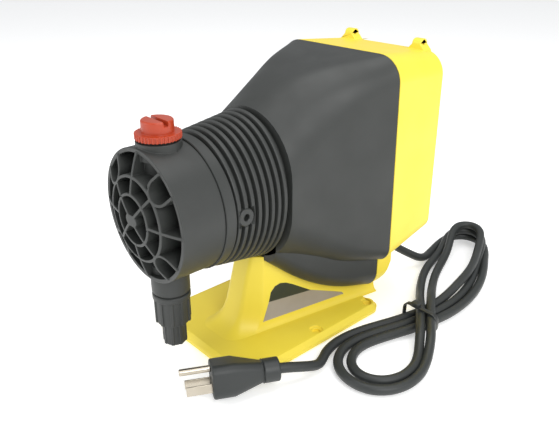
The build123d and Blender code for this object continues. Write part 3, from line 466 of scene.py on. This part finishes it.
def blend_stations(stations: Sequence[Sequence[float]], count: int) -> list[list[float]]:
    """Smooth values between stations, each row led by its share of the length.

    Args:
        stations: Rows of share and sizes.
        Rows of share and sizes on a smooth cubic curve through the stations.

    Returns:
        Rows of share and sizes on a curve without overshoot.
    """
    rows = []
    last = len(stations) - 1
    for step in range(count + 1):
        share = stations[0][0] + (stations[-1][0] - stations[0][0]) * step / count
        place = max(index for index in range(last) if stations[index][0] <= share + 1e-9)
        before, after = stations[place], stations[place + 1]
        span = after[0] - before[0]
        part = (share - before[0]) / span
        row = [share]
        for column in range(1, len(before)):
            slopes = []
            for index in (place, place + 1):
                low, high = max(index - 1, 0), min(index + 1, last)
                rise = stations[high][column] - stations[low][column]
                slopes.append(rise / (stations[high][0] - stations[low][0]))
            square, cube = part * part, part ** 3
            row.append(
                (2 * cube - 3 * square + 1) * before[column] + (cube - 2 * square + part) * span * slopes[0]
                + (3 * square - 2 * cube) * after[column] + (cube - square) * span * slopes[1]
            )
        rows.append(row)
    return rows


def quad_points(y: float, sizes: Sequence[float], arc: int = 10, inset: float = 0.0) -> list[Point]:
    """Section with four rounded corners, symmetric about X = 0.

    Args:
        y: Place along the pump.
        sizes: Half width at top and bottom, top and bottom height, top and bottom corner radius.
        arc: Steps round each corner.
        inset: Distance inside the section.

    Returns:
        Points in order round the section.
    """
    top_half, bottom_half, top, bottom, top_corner, bottom_corner = sizes
    top_half, bottom_half, top, bottom = top_half - inset, bottom_half - inset, top - inset, bottom + inset
    lean = math.atan2(bottom_half - top_half, top - bottom)
    points = []
    corners = (
        (1, top_half, top, max(top_corner - inset, 1.5), 1),
        (-1, top_half, top, max(top_corner - inset, 1.5), 1),
        (-1, bottom_half, bottom, max(bottom_corner - inset, 1.5), -1),
        (1, bottom_half, bottom, max(bottom_corner - inset, 1.5), -1),
    )
    for side, half, height, radius, up in corners:
        turn = math.pi / 2 - up * lean
        reach = radius * math.tan(turn / 2)
        centre = (half - reach, height - up * radius)
        for step in range(arc + 1):
            share = step / arc
            if side * up > 0:
                angle = math.pi / 2 - turn + turn * share
            else:
                angle = math.pi / 2 - turn * share
            x, z = centre[0] + radius * math.cos(angle), centre[1] + up * radius * math.sin(angle)
            points.append((side * x, y, z))
    return points


def rounded(corners: Sequence[tuple[float, float, float]], steps: int = 6) -> list[tuple[float, float]]:
    """Rounds the corners of a closed outline.

    Args:
        corners: Place and radius of each corner, in order.
        steps: Steps round each corner.

    Returns:
        The points of the outline.
    """
    points = []
    count = len(corners)
    for index, (x, y, radius) in enumerate(corners):
        here = Vector((x, y))
        before = (Vector(corners[index - 1][:2]) - here).normalized()
        after = (Vector(corners[(index + 1) % count][:2]) - here).normalized()
        half = before.angle(after) / 2
        middle = here + (before + after).normalized() * (radius / math.sin(half))
        start = here + before * (radius / math.tan(half)) - middle
        end = here + after * (radius / math.tan(half)) - middle
        sweep = start.angle_signed(end)
        for step in range(steps + 1):
            turn = -sweep * step / steps
            points.append((
                middle.x + start.x * math.cos(turn) - start.y * math.sin(turn),
                middle.y + start.x * math.sin(turn) + start.y * math.cos(turn),
            ))
    return points


@dataclass(frozen=True)
class FootStand:
    """Yellow foot plate with its wedge stand, and the blank label on the stand's side.

    A row of sections holds height, nose place, nose half width, shoulder place, flare and nose radius.
    A row of the ceiling holds place along the pump and height. screw_boss holds place in X and Y, radius,
    lower and upper height.
    """

    half_width: float = 60.0
    front: float = -110.0
    rear: float = 38.0
    height: float = 7.0
    bevel: float = 3.8
    wall: float = 3.4
    front_corner: float = 20.0
    rear_corner: float = 9.0
    tongue_half: float = 33.0
    tongue_rear: float = 52.0
    hole_x: float = 50.7
    hole_y: float = 30.45
    hole_radius: float = 3.3
    dimple_radius: float = 5.2
    dimple_depth: float = 1.4
    boss_radius: float = 8.5
    side_start: float = 34.1
    side_spread: float = 0.1756
    side_lean: float = 0.128
    sections: tuple = (
        (6.6, -94.0, 17.0, -72.0, 3.2, 12.0),
        (7.6, -90.0, 15.0, -69.5, 1.7, 11.0),
        (9.2, -86.0, 13.4, -67.2, 0.8, 10.0),
        (11.5, -82.2, 12.0, -65.0, 0.3, 9.0),
        (14.5, -78.8, 11.0, -63.2, 0.0, 8.0),
        (18.5, -75.9, 10.2, -61.8, 0.0, 7.5),
        (24.0, -73.4, 9.6, -60.5, 0.0, 7.0),
        (34.0, -70.4, 9.2, -58.8, 0.0, 7.0),
        (48.0, -66.6, 9.0, -56.8, 0.0, 7.0),
        (66.5, -61.4, 9.0, -54.6, 0.0, 7.0),
    )
    ceiling: tuple = (
        (-57.0, 60.0), (-54.5, 58.5), (-40.0, 48.6), (-25.0, 36.8), (-10.0, 29.0), (5.0, 21.3), (20.0, 17.6),
        (33.0, 14.2),
    )
    screw_boss: tuple = (18.0, 28.0, 6.5, 8.0, 20.0)
    label: tuple = (
        (-62.0, 10.6), (-54.2, 28.0), (-51.4, 36.0), (-47.4, 39.9), (-42.5, 41.2), (-37.1, 40.0),
        (-30.8, 36.7), (-15.4, 27.0), (15.6, 15.4), (17.4, 13.4), (15.4, 12.0), (-26.6, 11.0), (-60.0, 9.4),
    )

    def side_x(self, y: float, z: float) -> float:
        """Half width of the stand at a place on its flat side.

        Args:
            y: Place along the pump.
            z: Height.

        Returns:
            Half width in millimetres.
        """
        return self.side_start + self.side_spread * y - self.side_lean * z

    def plan(self, z: float, inset: float) -> list[Point]:
        """Outline of the foot plate.

        Args:
            z: Height of the outline.
            inset: Distance inside the plate's edge.

        Returns:
            Points in order.
        """
        wide, tongue = self.half_width - inset, self.tongue_half - inset
        front, rear, back = self.front + inset, self.rear - inset, self.tongue_rear - inset
        large, small = max(self.front_corner - inset, 2.0), max(self.rear_corner - inset, 1.5)
        right = [(wide, front, large), (wide, rear, small), (tongue, rear, 1.0 + inset), (tongue, back, 2.5)]
        left = [(-x, y, radius) for x, y, radius in reversed(right)]
        return [(x, y, z) for x, y in rounded([*right, *left])]

    def circle(self, x: float, y: float, z: float, radius: float, count: int = 40) -> list[Point]:
        """Points of an upright hole's edge.

        Args:
            x: Centre.
            y: Centre.
            z: Height.
            radius: Radius.
            count: Number of points.

        Returns:
            The points.
        """
        turns = [2 * math.pi * index / count for index in range(count)]
        return [(x + radius * math.cos(turn), y + radius * math.sin(turn), z) for turn in turns]

    def cavity(self, low: float | None, extra: float = 0.0) -> list[Point]:
        """Outline of the open space inside the stand.

        Args:
            low: Height of a level outline, or None for the sloping ceiling under the housing.
            extra: Distance outside the usual outline.

        Returns:
            Points in order.
        """
        nose = (5.2, -59.5, 60.0) if low is None else (6.0, -74.0, low)
        right = [(nose[0] + extra, nose[1] - extra, nose[2])]
        for y, top in self.ceiling:
            z = top if low is None else low
            right.append((self.side_x(y, z) - 3.5 + extra, y, z))
        return [*right, *[(-x, y, z) for x, y, z in reversed(right)]]

    def fill(self, bm: bmesh.types.BMesh, rings: Sequence[Sequence[bmesh.types.BMVert]]) -> None:
        """Fills the flat area between an outline and the holes in it.

        Args:
            bm: Mesh.
            rings: The outline and the holes.
        """
        edges = []
        for ring in rings:
            for first, second in zip(ring, [*ring[1:], ring[0]]):
                edges.append(bm.edges.get((first, second)) or bm.edges.new((first, second)))
        bmesh.ops.triangle_fill(bm, edges=edges, use_beauty=True)

    def plate(self, bm: bmesh.types.BMesh) -> None:
        """Adds the foot plate: bevelled top edge, hollow underside, four screw holes in shallow dimples.

        Args:
            bm: Mesh.
        """
        low = self.height - self.bevel
        profile = [(0.0, self.wall), (0.0, 0.3), (0.3, 0.0), (low - 0.5, 0.0), (low, 0.12), (low + 0.5, 0.55)]
        profile += [(self.height - 0.55, self.bevel - 0.45), (self.height - 0.12, self.bevel + 0.05)]
        profile += [(self.height, self.bevel + 0.6)]
        rings = [ring_at(bm, self.plan(z, inset)) for z, inset in profile]
        roof = ring_at(bm, self.plan(self.height - self.wall, self.wall))
        loop_faces(bm, [roof, *rings])
        tops, roofs = [rings[-1]], [roof]
        floor_z = self.height - self.dimple_depth
        for x in (-self.hole_x, self.hole_x):
            for y in (-self.hole_y, self.hole_y):
                steps = [(self.height, self.dimple_radius + 0.3), (self.height - 0.3, self.dimple_radius),
                         (floor_z + 0.3, self.dimple_radius - 0.1), (floor_z, self.dimple_radius - 0.5),
                         (floor_z, self.hole_radius + 0.25), (floor_z - 0.25, self.hole_radius),
                         (0.0, self.hole_radius), (0.0, self.boss_radius - 0.4),
                         (self.height - self.wall, self.boss_radius)]
                hole = [ring_at(bm, self.circle(x, y, z, radius)) for z, radius in steps]
                loop_faces(bm, hole)
                tops.append(hole[0])
                roofs.append(hole[-1])
        opening = [ring_at(bm, self.cavity(z)) for z in (self.height, self.height - self.wall)]
        loop_faces(bm, opening)
        self.fill(bm, [*tops, opening[0]])
        self.fill(bm, [*roofs, opening[1]])

    def stand(self, bm: bmesh.types.BMesh) -> None:
        """Adds the wedge stand, whose nose flares forward into the foot plate.

        Args:
            bm: Mesh.
        """
        rings = []
        for z, nose, half, shoulder, flare, corner in self.sections:
            rear = self.tongue_rear - 1.0
            right = [
                (half + flare, nose, corner),
                (self.side_x(shoulder, z) + flare, shoulder, 4.0),
                (self.side_x(rear, z) + flare, rear, 2.0),
            ]
            left = [(-x, y, radius) for x, y, radius in reversed(right)]
            rings.append(ring_at(bm, [(x, y, z) for x, y in rounded([*right, *left], 8)]))
        loop_faces(bm, rings)
        bm.faces.new(rings[-1])
        hollow = [ring_at(bm, self.cavity(self.sections[0][0], 0.05)), ring_at(bm, self.cavity(None, 0.05))]
        loop_faces(bm, hollow)
        self.fill(bm, [rings[0], hollow[0]])
        self.fill(bm, [hollow[1]])
        x, y, radius, low, high = self.screw_boss
        for side in (-1, 1):
            bmesh.ops.create_cone(
                bm, cap_ends=True, segments=32, radius1=radius * MM, radius2=radius * MM,
                depth=(high - low) * MM,
                matrix=Matrix.Translation(Vector((side * x, y, (low + high) / 2)) * MM),
            )

    def plate_label(self, shop: Workshop) -> None:
        """Makes the blank label with a fine raised edge.

        Args:
            shop: Where pieces are finished.
        """
        bm = bmesh.new()
        centre = Vector((sum(y for y, _ in self.label), sum(z for _, z in self.label))) / len(self.label)
        outward = Vector((1.0, -self.side_spread, self.side_lean)).normalized()
        rings = []
        for lift, inset in ((-0.3, 0.0), (0.08, 0.0), (0.16, 0.1), (0.16, 0.5), (0.12, 0.6)):
            points = []
            for y, z in self.label:
                inward = (centre - Vector((y, z))).normalized() * inset
                place = Vector((self.side_x(y + inward.x, z + inward.y), y + inward.x, z + inward.y))
                points.append(tuple(place + outward * lift))
            rings.append(ring_at(bm, points))
        loop_faces(bm, rings)
        bm.faces.new(rings[0])
        bm.faces.new(rings[-1])
        piece = shop.from_bmesh("label_blank", bm, "label_foil", "pump", 40.0)
        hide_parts("label_plate")

    def build(self, shop: Workshop) -> None:
        """Makes the foot stand and its label.

        Args:
            shop: Where pieces are finished.
        """
        bm = bmesh.new()
        self.plate(bm)
        self.stand(bm)
        piece = shop.from_bmesh("foot_stand", bm, "yellow_plastic", "pump", 28.0)
        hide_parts("base")
        self.plate_label(shop)


@dataclass(frozen=True)
class PowerUnit:
    """Black finned housing between the liquid end and the controls."""

    seam_y: float = -112.0
    fins_end: float = -54.5
    joint_y: float = 37.4
    axis_z: float = 123.0
    collar_radius: float = 47.6
    collar_length: float = 8.5
    fin_count: int = 8
    fin_pitch: float = 5.8
    first_fin: float = 11.5
    fin_thickness: float = 2.9
    half_width: float = 47.0
    first_half_height: float = 47.3
    last_half_height: float = 57.3
    groove: float = 4.2
    boss_y: float = -95.0
    boss_radius: float = 6.2
    boss_hole: float = 2.4
    body: tuple = (
        (0.0, 47.2, 47.4, 180.6, 65.6, 46.0, 46.0),
        (0.18, 46.5, 48.6, 190.5, 60.5, 43.0, 40.0),
        (0.38, 47.5, 51.5, 199.5, 55.5, 38.0, 32.0),
        (0.65, 53.0, 57.5, 206.5, 50.5, 28.0, 21.0),
        (1.0, 61.2, 64.6, 211.5, 46.5, 20.0, 13.0),
    )
    chute: tuple = (
        (0.0, 30.0, 30.0, 92.0, 64.0, 12.0, 13.0),
        (0.32, 38.5, 39.5, 84.0, 40.5, 12.0, 14.0),
        (0.65, 46.0, 47.0, 78.0, 25.0, 12.0, 15.0),
        (1.0, 53.0, 53.3, 74.0, 17.0, 12.0, 16.0),
    )

    def half_height(self, y: float) -> float:
        """Half height of the fins at a place.

        Args:
            y: Place along the pump.

        Returns:
            Half height in millimetres.
        """
        share = (y - self.seam_y) / (self.fins_end - self.seam_y)
        return self.first_half_height + share * (self.last_half_height - self.first_half_height)

    def ellipse(self, y: float, inset: float, count: int = 96) -> list[Point]:
        """Points of the fin outline.

        Args:
            y: Place along the pump.
            inset: Distance inside the outline.
            count: Number of points.

        Returns:
            The points.
        """
        wide, high = self.half_width - inset, self.half_height(y) - inset
        points = []
        for index in range(count):
            turn = 2 * math.pi * index / count
            x, z = wide * math.cos(turn), high * math.sin(turn)
            if x > 0 and abs(z) < self.boss_radius - 1.0 and abs(y - self.boss_y) < self.boss_radius - 0.8:
                x = min(x, self.half_width - 4.5)
            points.append((x, y, self.axis_z + z))
        return points

    def fins(self, bm: bmesh.types.BMesh) -> None:
        """Adds the finned neck as one skin with rounded fin rims and groove roots.

        Args:
            bm: Mesh.
        """
        half, soft = self.fin_thickness / 2, 0.6
        stations = [(self.seam_y + 0.4, 6.0), (self.seam_y + self.first_fin - half - 0.6, self.groove)]
        for index in range(self.fin_count):
            middle = self.seam_y + self.first_fin + index * self.fin_pitch
            stations += [
                (middle - half - 0.05, self.groove - 0.5),
                (middle - half, self.groove - 1.0),
                (middle - half, soft),
                (middle - half + 0.18, 0.18),
                (middle - half + soft, 0.0),
                (middle + half - soft, 0.0),
                (middle + half - 0.18, 0.18),
                (middle + half, soft),
                (middle + half, self.groove - 1.0),
                (middle + half + 0.05, self.groove - 0.5),
                (middle + half + 0.6, self.groove),
                (middle + self.fin_pitch - half - 0.6, self.groove),
            ]
        stations.append((self.fins_end + 4.0, self.groove))
        rings = [ring_at(bm, self.ellipse(y, inset)) for y, inset in stations]
        loop_faces(bm, rings)
        bm.faces.new(rings[0])
        bm.faces.new(rings[-1])

    def collar(self, bm: bmesh.types.BMesh) -> None:
        """Adds the round collar behind the liquid end.

        Args:
            bm: Mesh.
        """
        end = self.seam_y + self.collar_length
        profile = [(self.seam_y + 0.15, 43.5), (self.seam_y + 0.15, self.collar_radius - 0.5),
                   (self.seam_y + 0.6, self.collar_radius), (end - 0.7, self.collar_radius),
                   (end - 0.2, self.collar_radius - 0.3), (end, self.collar_radius - 0.9), (end, 40.0)]
        rings = []
        for y, radius in profile:
            turns = [2 * math.pi * index / 128 for index in range(128)]
            rings.append(ring_at(
                bm, [(radius * math.cos(t), y, self.axis_z + radius * math.sin(t)) for t in turns]
            ))
        loop_faces(bm, rings)
        bm.faces.new(rings[0])
        bm.faces.new(rings[-1])

    def boss(self, bm: bmesh.types.BMesh) -> None:
        """Adds the small round boss with its blind hole on the side of the neck.

        Args:
            bm: Mesh.
        """
        profile = [(39.0, self.boss_radius), (self.half_width - 0.6, self.boss_radius),
                   (self.half_width, self.boss_radius - 0.6), (self.half_width, self.boss_hole + 0.4),
                   (self.half_width - 0.4, self.boss_hole), (self.half_width - 4.0, self.boss_hole)]
        rings = []
        for x, radius in profile:
            turns = [2 * math.pi * index / 40 for index in range(40)]
            rings.append(
                ring_at(bm, [
                    (x, self.boss_y + radius * math.cos(t), self.axis_z + radius * math.sin(t)) for t in turns
                ])
            )
        loop_faces(bm, rings)
        bm.faces.new(rings[0])
        bm.faces.new(rings[-1])

    def skin(self, bm: bmesh.types.BMesh, stations: Sequence[Sequence[float]], count: int) -> None:
        """Adds one smooth lofted skin.

        Args:
            bm: Mesh.
            stations: Shares and sizes.
            count: Steps along the pump.
        """
        length = self.joint_y - self.fins_end
        rows = blend_stations(stations, count)
        rings = [ring_at(bm, quad_points(self.fins_end + row[0] * length, row[1:])) for row in rows[:-1]]
        end = rows[-1][1:]
        for back, inset in ((0.6, 0.0), (0.18, 0.12), (0.0, 0.6)):
            rings.append(ring_at(bm, quad_points(self.joint_y - back, end, inset=inset)))
        loop_faces(bm, rings)
        bm.faces.new(rings[0])
        bm.faces.new(rings[-1])

    def build(self, shop: Workshop) -> None:
        """Makes the housing.

        Args:
            shop: Where pieces are finished.
        """
        bm = bmesh.new()
        self.fins(bm)
        self.collar(bm)
        self.boss(bm)
        self.skin(bm, self.body, 28)
        self.skin(bm, self.chute, 20)
        piece = shop.from_bmesh("power_unit_shell", bm, "black_moulding", "pump", 30.0)
        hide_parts("power_unit_housing")


@dataclass(frozen=True)
class MainsCord:
    """Round mains cord: out of the gland, wound in a tied figure of eight, and on to the plug."""

    radius: float = 3.75
    exit_route: tuple = (
        (20.0, 80.8, 33.0), (20.1, 88.5, 32.4), (21.8, 97.5, 27.4), (25.2, 107.5, 19.6), (31.2, 118.4, 12.2),
    )
    tail_route: tuple = (
        (81.2, -59.2, 5.0), (81.1, -66.4, 7.6), (79.9, -74.4, 10.6), (77.6, -82.0, 12.9),
        (74.386, -88.653, 13.9), (70.853, -95.269, 13.9),
    )
    first_far: tuple = (
        (34, 126, 7.6), (34, 136, 4.6), (31, 148, 4), (27.5, 162, 4), (24.5, 176, 4), (24, 189, 4),
        (28.5, 200.5, 4), (37.5, 207, 4), (48.5, 206.5, 4), (58.5, 200, 4), (67, 189, 4), (75, 175, 4),
        (83.5, 160, 4), (91.5, 144, 4), (98.5, 126, 4), (103.5, 107, 4), (106, 88, 4), (106, 70, 4),
        (104, 55, 4), (101, 40, 4), (97.5, 26, 4), (93, 12, 4), (89, -2, 4),
    )
    first_near: tuple = (
        (86.5, -15, 4), (88, -28, 4), (94.5, -39, 4), (105, -44.5, 4), (116.5, -43.5, 4), (126, -35.5, 4),
        (130.5, -23, 4), (129.5, -9, 4), (124.5, 3, 4.5), (118, 13, 7.4), (111, 23, 11.9), (103, 34, 12.1),
        (95, 45, 12.1), (87, 55.5, 11.9), (77, 69, 7.5), (68, 82, 4.4), (59, 96, 4), (51, 111, 4),
        (45.5, 125, 4),
    )
    second_far: tuple = (
        (41.8, 139, 4), (38.5, 152, 4.6), (34.5, 165, 7.2), (30, 177, 10.4), (28, 189, 11.8),
        (31.5, 199.5, 12), (39.5, 205, 12), (49.5, 203.5, 12), (58.5, 196, 11.8), (65, 184, 10.4),
        (71, 170, 7.2), (77.5, 156, 4.5), (84.5, 141, 4), (90.8, 124, 4), (95.6, 106, 4), (98, 88, 4),
        (98, 70, 4), (96, 55, 4), (93, 40, 4), (89.5, 26, 4), (85, 12, 4), (81, -2, 4),
    )
    second_near: tuple = (
        (78.5, -16, 4), (79, -30, 4), (85, -43, 4), (96, -52, 4), (110, -55, 4), (124, -51.5, 4),
        (134, -41, 4), (138.5, -27, 4), (137.5, -12, 4), (133, 1, 4.4), (127, 13, 7.2), (120, 24.5, 11.8),
        (111.5, 36, 12.1), (103, 47.5, 12.1), (94.5, 59.5, 12.1), (86, 72, 11.9), (77, 86, 7.6),
        (68.5, 100, 4.4), (61, 114, 4), (55, 128, 4.4),
    )
    third_far: tuple = (
        (50, 143, 6), (45, 157, 9.8), (38.5, 170, 14), (33.5, 181, 17.6), (32, 191, 19.6),
        (36, 199.5, 19.8), (43.5, 202.5, 19.8), (52, 199.5, 19.6), (59.5, 190.5, 18.2), (65.5, 178, 15.4),
        (72, 164, 12.6), (79, 148, 11.8), (85, 130, 11.8), (88.5, 112, 11), (90, 95, 7.6), (90, 79, 4.6),
        (89.5, 66, 4), (88, 54, 4), (85, 40, 4), (81.5, 26, 4), (77, 12, 4), (73, -2, 4), (70.4, -16, 4),
        (70.2, -30, 4), (73.5, -43, 4.2), (78.8, -52.5, 4.6),
    )
    tie_y: float = 42.0

    def route(self) -> list[Point]:
        """All control points of the cord, from the gland to the plug.

        Returns:
            Points in millimetres.
        """
        return [
            *self.exit_route, *self.first_far, *self.first_near, *self.second_far, *self.second_near,
            *self.third_far, *self.tail_route,
        ]

    def curve(self, bevel: float) -> bpy.types.Curve:
        """The cord's line as one open spline.

        Args:
            bevel: Half the diameter, or 0 for the bare line.

        Returns:
            The curve.
        """
        data = bpy.data.curves.new("mains_cord", "CURVE")
        data.dimensions = "3D"
        spline = data.splines.new("NURBS")
        points = self.route()
        spline.points.add(len(points) - 1)
        for point, place in zip(spline.points, points):
            point.co = (place[0] * MM, place[1] * MM, place[2] * MM, 1.0)
        spline.order_u = 3
        spline.use_endpoint_u = True
        spline.resolution_u = 6
        data.bevel_depth = bevel
        data.bevel_resolution = 5
        data.use_fill_caps = True
        return data

    def tie(self, shop: Workshop) -> bpy.types.Object:
        """Flat tie band round the crossing of the coil.

        Args:
            shop: Where pieces are finished.

        Returns:
            The band.
        """
        bm = bmesh.new()
        outline = []
        left, right, low, high, corner = 80.6, 113.4, 0.25, 17.6, 6.0
        for centre_x, centre_z, start in (
            (right - corner, high - corner, 0), (left + corner, high - corner, 90),
            (left + corner, low + corner, 180), (right - corner, low + corner, 270),
        ):
            for step in range(9):
                turn = math.radians(start + 90 * step / 8)
                outline.append((centre_x, centre_z, math.cos(turn), math.sin(turn)))
        rings = []
        for offset, out in ((-2.0, 0.0), (-2.0, 1.0), (-1.7, 1.2), (1.7, 1.2), (2.0, 1.0), (2.0, 0.0)):
            reach = corner - 1.2 + out
            rings.append(ring_at(bm, [
                (x + reach * c, self.tie_y + offset, z + reach * s) for x, z, c, s in outline
            ]))
        loop_faces(bm, [*rings, rings[0]])
        place = Matrix.Translation(Vector((92, self.tie_y, 18.6)) * MM)
        block = Matrix.Diagonal((7 * MM, 6 * MM, 4.4 * MM, 1))
        lock = bmesh.ops.create_cube(bm, size=1.0, matrix=place @ block)
        bmesh.ops.bevel(
            bm, geom=[edge for edge in bm.edges if all(vert in lock["verts"] for vert in edge.verts)],
            offset=0.8 * MM, segments=3, profile=0.5, affect="EDGES", material=-1,
        )
        return shop.from_bmesh("cord_tie_band", bm, "knob_black", "pump")

    def build(self, shop: Workshop, plug: Sequence[bpy.types.Object]) -> None:
        """Args:
            shop: Where pieces are finished.
            plug: Pieces on the cord's far end; not used.
        """
        cord = bpy.data.objects.new("mains_cord", self.curve(self.radius * MM))
        bpy.context.scene.collection.objects.link(cord)
        cord.data.materials.append(shop.painter.paint("cord_black"))
        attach(cord, "pump")
        line = bpy.data.objects.new("line", self.curve(0.0))
        mesh = bpy.data.meshes.new_from_object(line)
        bpy.data.objects.remove(line)
        bpy.data.meshes.remove(mesh)
        tie = self.tie(shop)
        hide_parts("cord_exit", "cord_hank", "cord_tail")
        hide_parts("cord_tie")


@dataclass(frozen=True)
class Studio:
    """Camera at the photograph's viewing angle, soft lamps, pale floor and white background."""

    camera_place: Point = (0.3398, -0.3325, 0.2977)
    elevation: float = 25.41
    azimuth: float = 47.73
    lens: float = 40.86
    lamps: tuple = (
        ("key", (1.05, -0.35, 0.85), 0.8, 8.8),
        ("fill", (-0.5, -1.1, 0.6), 1.2, 5.6),
        ("top", (0.0, 0.1, 1.4), 1.2, 9.0),
        ("side", (1.2, 0.6, 0.5), 0.9, 2.2),
    )

    def camera(self) -> None:
        """Adds the camera."""
        data = bpy.data.cameras.new("camera")
        data.lens = self.lens
        data.sensor_width = 36.0
        data.clip_start = 0.01
        camera = bpy.data.objects.new("camera", data)
        camera.location = self.camera_place
        camera.rotation_euler = (math.radians(90 - self.elevation), 0.0, math.radians(self.azimuth))
        bpy.context.scene.collection.objects.link(camera)
        bpy.context.scene.camera = camera

    def light(self) -> None:
        """Adds the soft lamps, each aimed at the middle of the pump."""
        target = Vector((0.0, -0.03, 0.1))
        for name, place, size, power in self.lamps:
            data = bpy.data.lights.new(name, "AREA")
            data.shape = "DISK"
            data.size = size
            data.energy = power
            lamp = bpy.data.objects.new(name, data)
            lamp.location = place
            lamp.rotation_euler = (target - Vector(place)).to_track_quat("-Z", "Y").to_euler()
            bpy.context.scene.collection.objects.link(lamp)

    def floor(self, painter: Painter) -> None:
        """Adds the pale floor.

        Args:
            painter: Maker of materials.
        """
        bm = bmesh.new()
        bmesh.ops.create_grid(bm, x_segments=4, y_segments=4, size=3.0)
        mesh = bpy.data.meshes.new("floor")
        bm.to_mesh(mesh)
        bm.free()
        material, tree, shader = painter.start("floor_paper")
        place = painter.add(tree, "TexCoord").outputs["Object"]
        noise = painter.add(tree, "TexNoise", {"Vector": place, "Scale": 30.0}).outputs[0]
        tone = painter.add(
            tree, "Mix", {"Factor": noise, "A": linear("#F7F7F6"), "B": linear("#F4F4F3")}, data_type="RGBA"
        )
        tree.links.new(tone.outputs["Result"], shader.inputs["Base Color"])
        shader.inputs["Roughness"].default_value = 0.9
        shader.inputs["Emission Color"].default_value = (1.0, 1.0, 1.0, 1.0)
        shader.inputs["Emission Strength"].default_value = 0.4
        mesh.materials.append(material)
        floor = bpy.data.objects.new("floor", mesh)
        floor.location.z = -0.0015
        bpy.context.scene.collection.objects.link(floor)

    def world(self) -> None:
        """White to the camera and pale grey as a light."""
        world = bpy.data.worlds.new("studio")
        bpy.context.scene.world = world
        world.use_nodes = True
        tree = world.node_tree
        tree.nodes.clear()
        path = tree.nodes.new("ShaderNodeLightPath")
        light = tree.nodes.new("ShaderNodeBackground")
        light.inputs["Color"].default_value = (0.95, 0.97, 1.0, 1.0)
        light.inputs["Strength"].default_value = 0.5
        white = tree.nodes.new("ShaderNodeBackground")
        white.inputs["Color"].default_value = (1.0, 1.0, 1.0, 1.0)
        white.inputs["Strength"].default_value = 1.0
        mix = tree.nodes.new("ShaderNodeMixShader")
        out = tree.nodes.new("ShaderNodeOutputWorld")
        tree.links.new(path.outputs["Is Camera Ray"], mix.inputs[0])
        tree.links.new(light.outputs[0], mix.inputs[1])
        tree.links.new(white.outputs[0], mix.inputs[2])
        tree.links.new(mix.outputs[0], out.inputs["Surface"])

    def build(self, painter: Painter) -> None:
        """Sets the stage.

        Args:
            painter: Maker of materials.
        """
        bpy.context.scene.view_settings.view_transform = "Standard"
        self.camera()
        self.light()
        self.floor(painter)
        self.world()


SOFT_NODES: dict[str, float] = {
    "pump_head": 0.4,
    "head_screws": 0.3,
    "head_washers": 0.2,
    "vent_plug": 0.3,
    "suction_valve_housing": 0.3,
    "coupling_nut": 0.3,
    "rear_housing": 0.5,
    "control_panel": 0.3,
    "case_screws": 0.25,
    "stroke_knob": 0.4,
    "speed_knob": 0.3,
    "cord_gland": 0.4,
    "strain_relief": 0.4,
    "plug_body": 1.2,
    "plug_blades": 0.25,
    "plug_ground_pin": 0.5,
}


def build() -> None:
    """Makes the whole pump and the studio."""
    painter = Painter()
    Studio().build(painter)
    shop = Workshop(painter)
    pieces = {node: shop.soften(node, width) for node, width in SOFT_NODES.items()}
    plug = [pieces["plug_body"], pieces["plug_blades"], pieces["plug_ground_pin"], pieces["strain_relief"]]
    MainsCord().build(shop, plug)
    PowerUnit().build(shop)
    FootStand().build(shop)
    shop.dress([
        "cord_exit", "cord_hank", "cord_tail", "cord_tie", "power_unit_housing", "base", "label_plate",
    ])


if __name__ == "__main__":
    logging.basicConfig(level=logging.INFO, format="%(message)s")
    build()
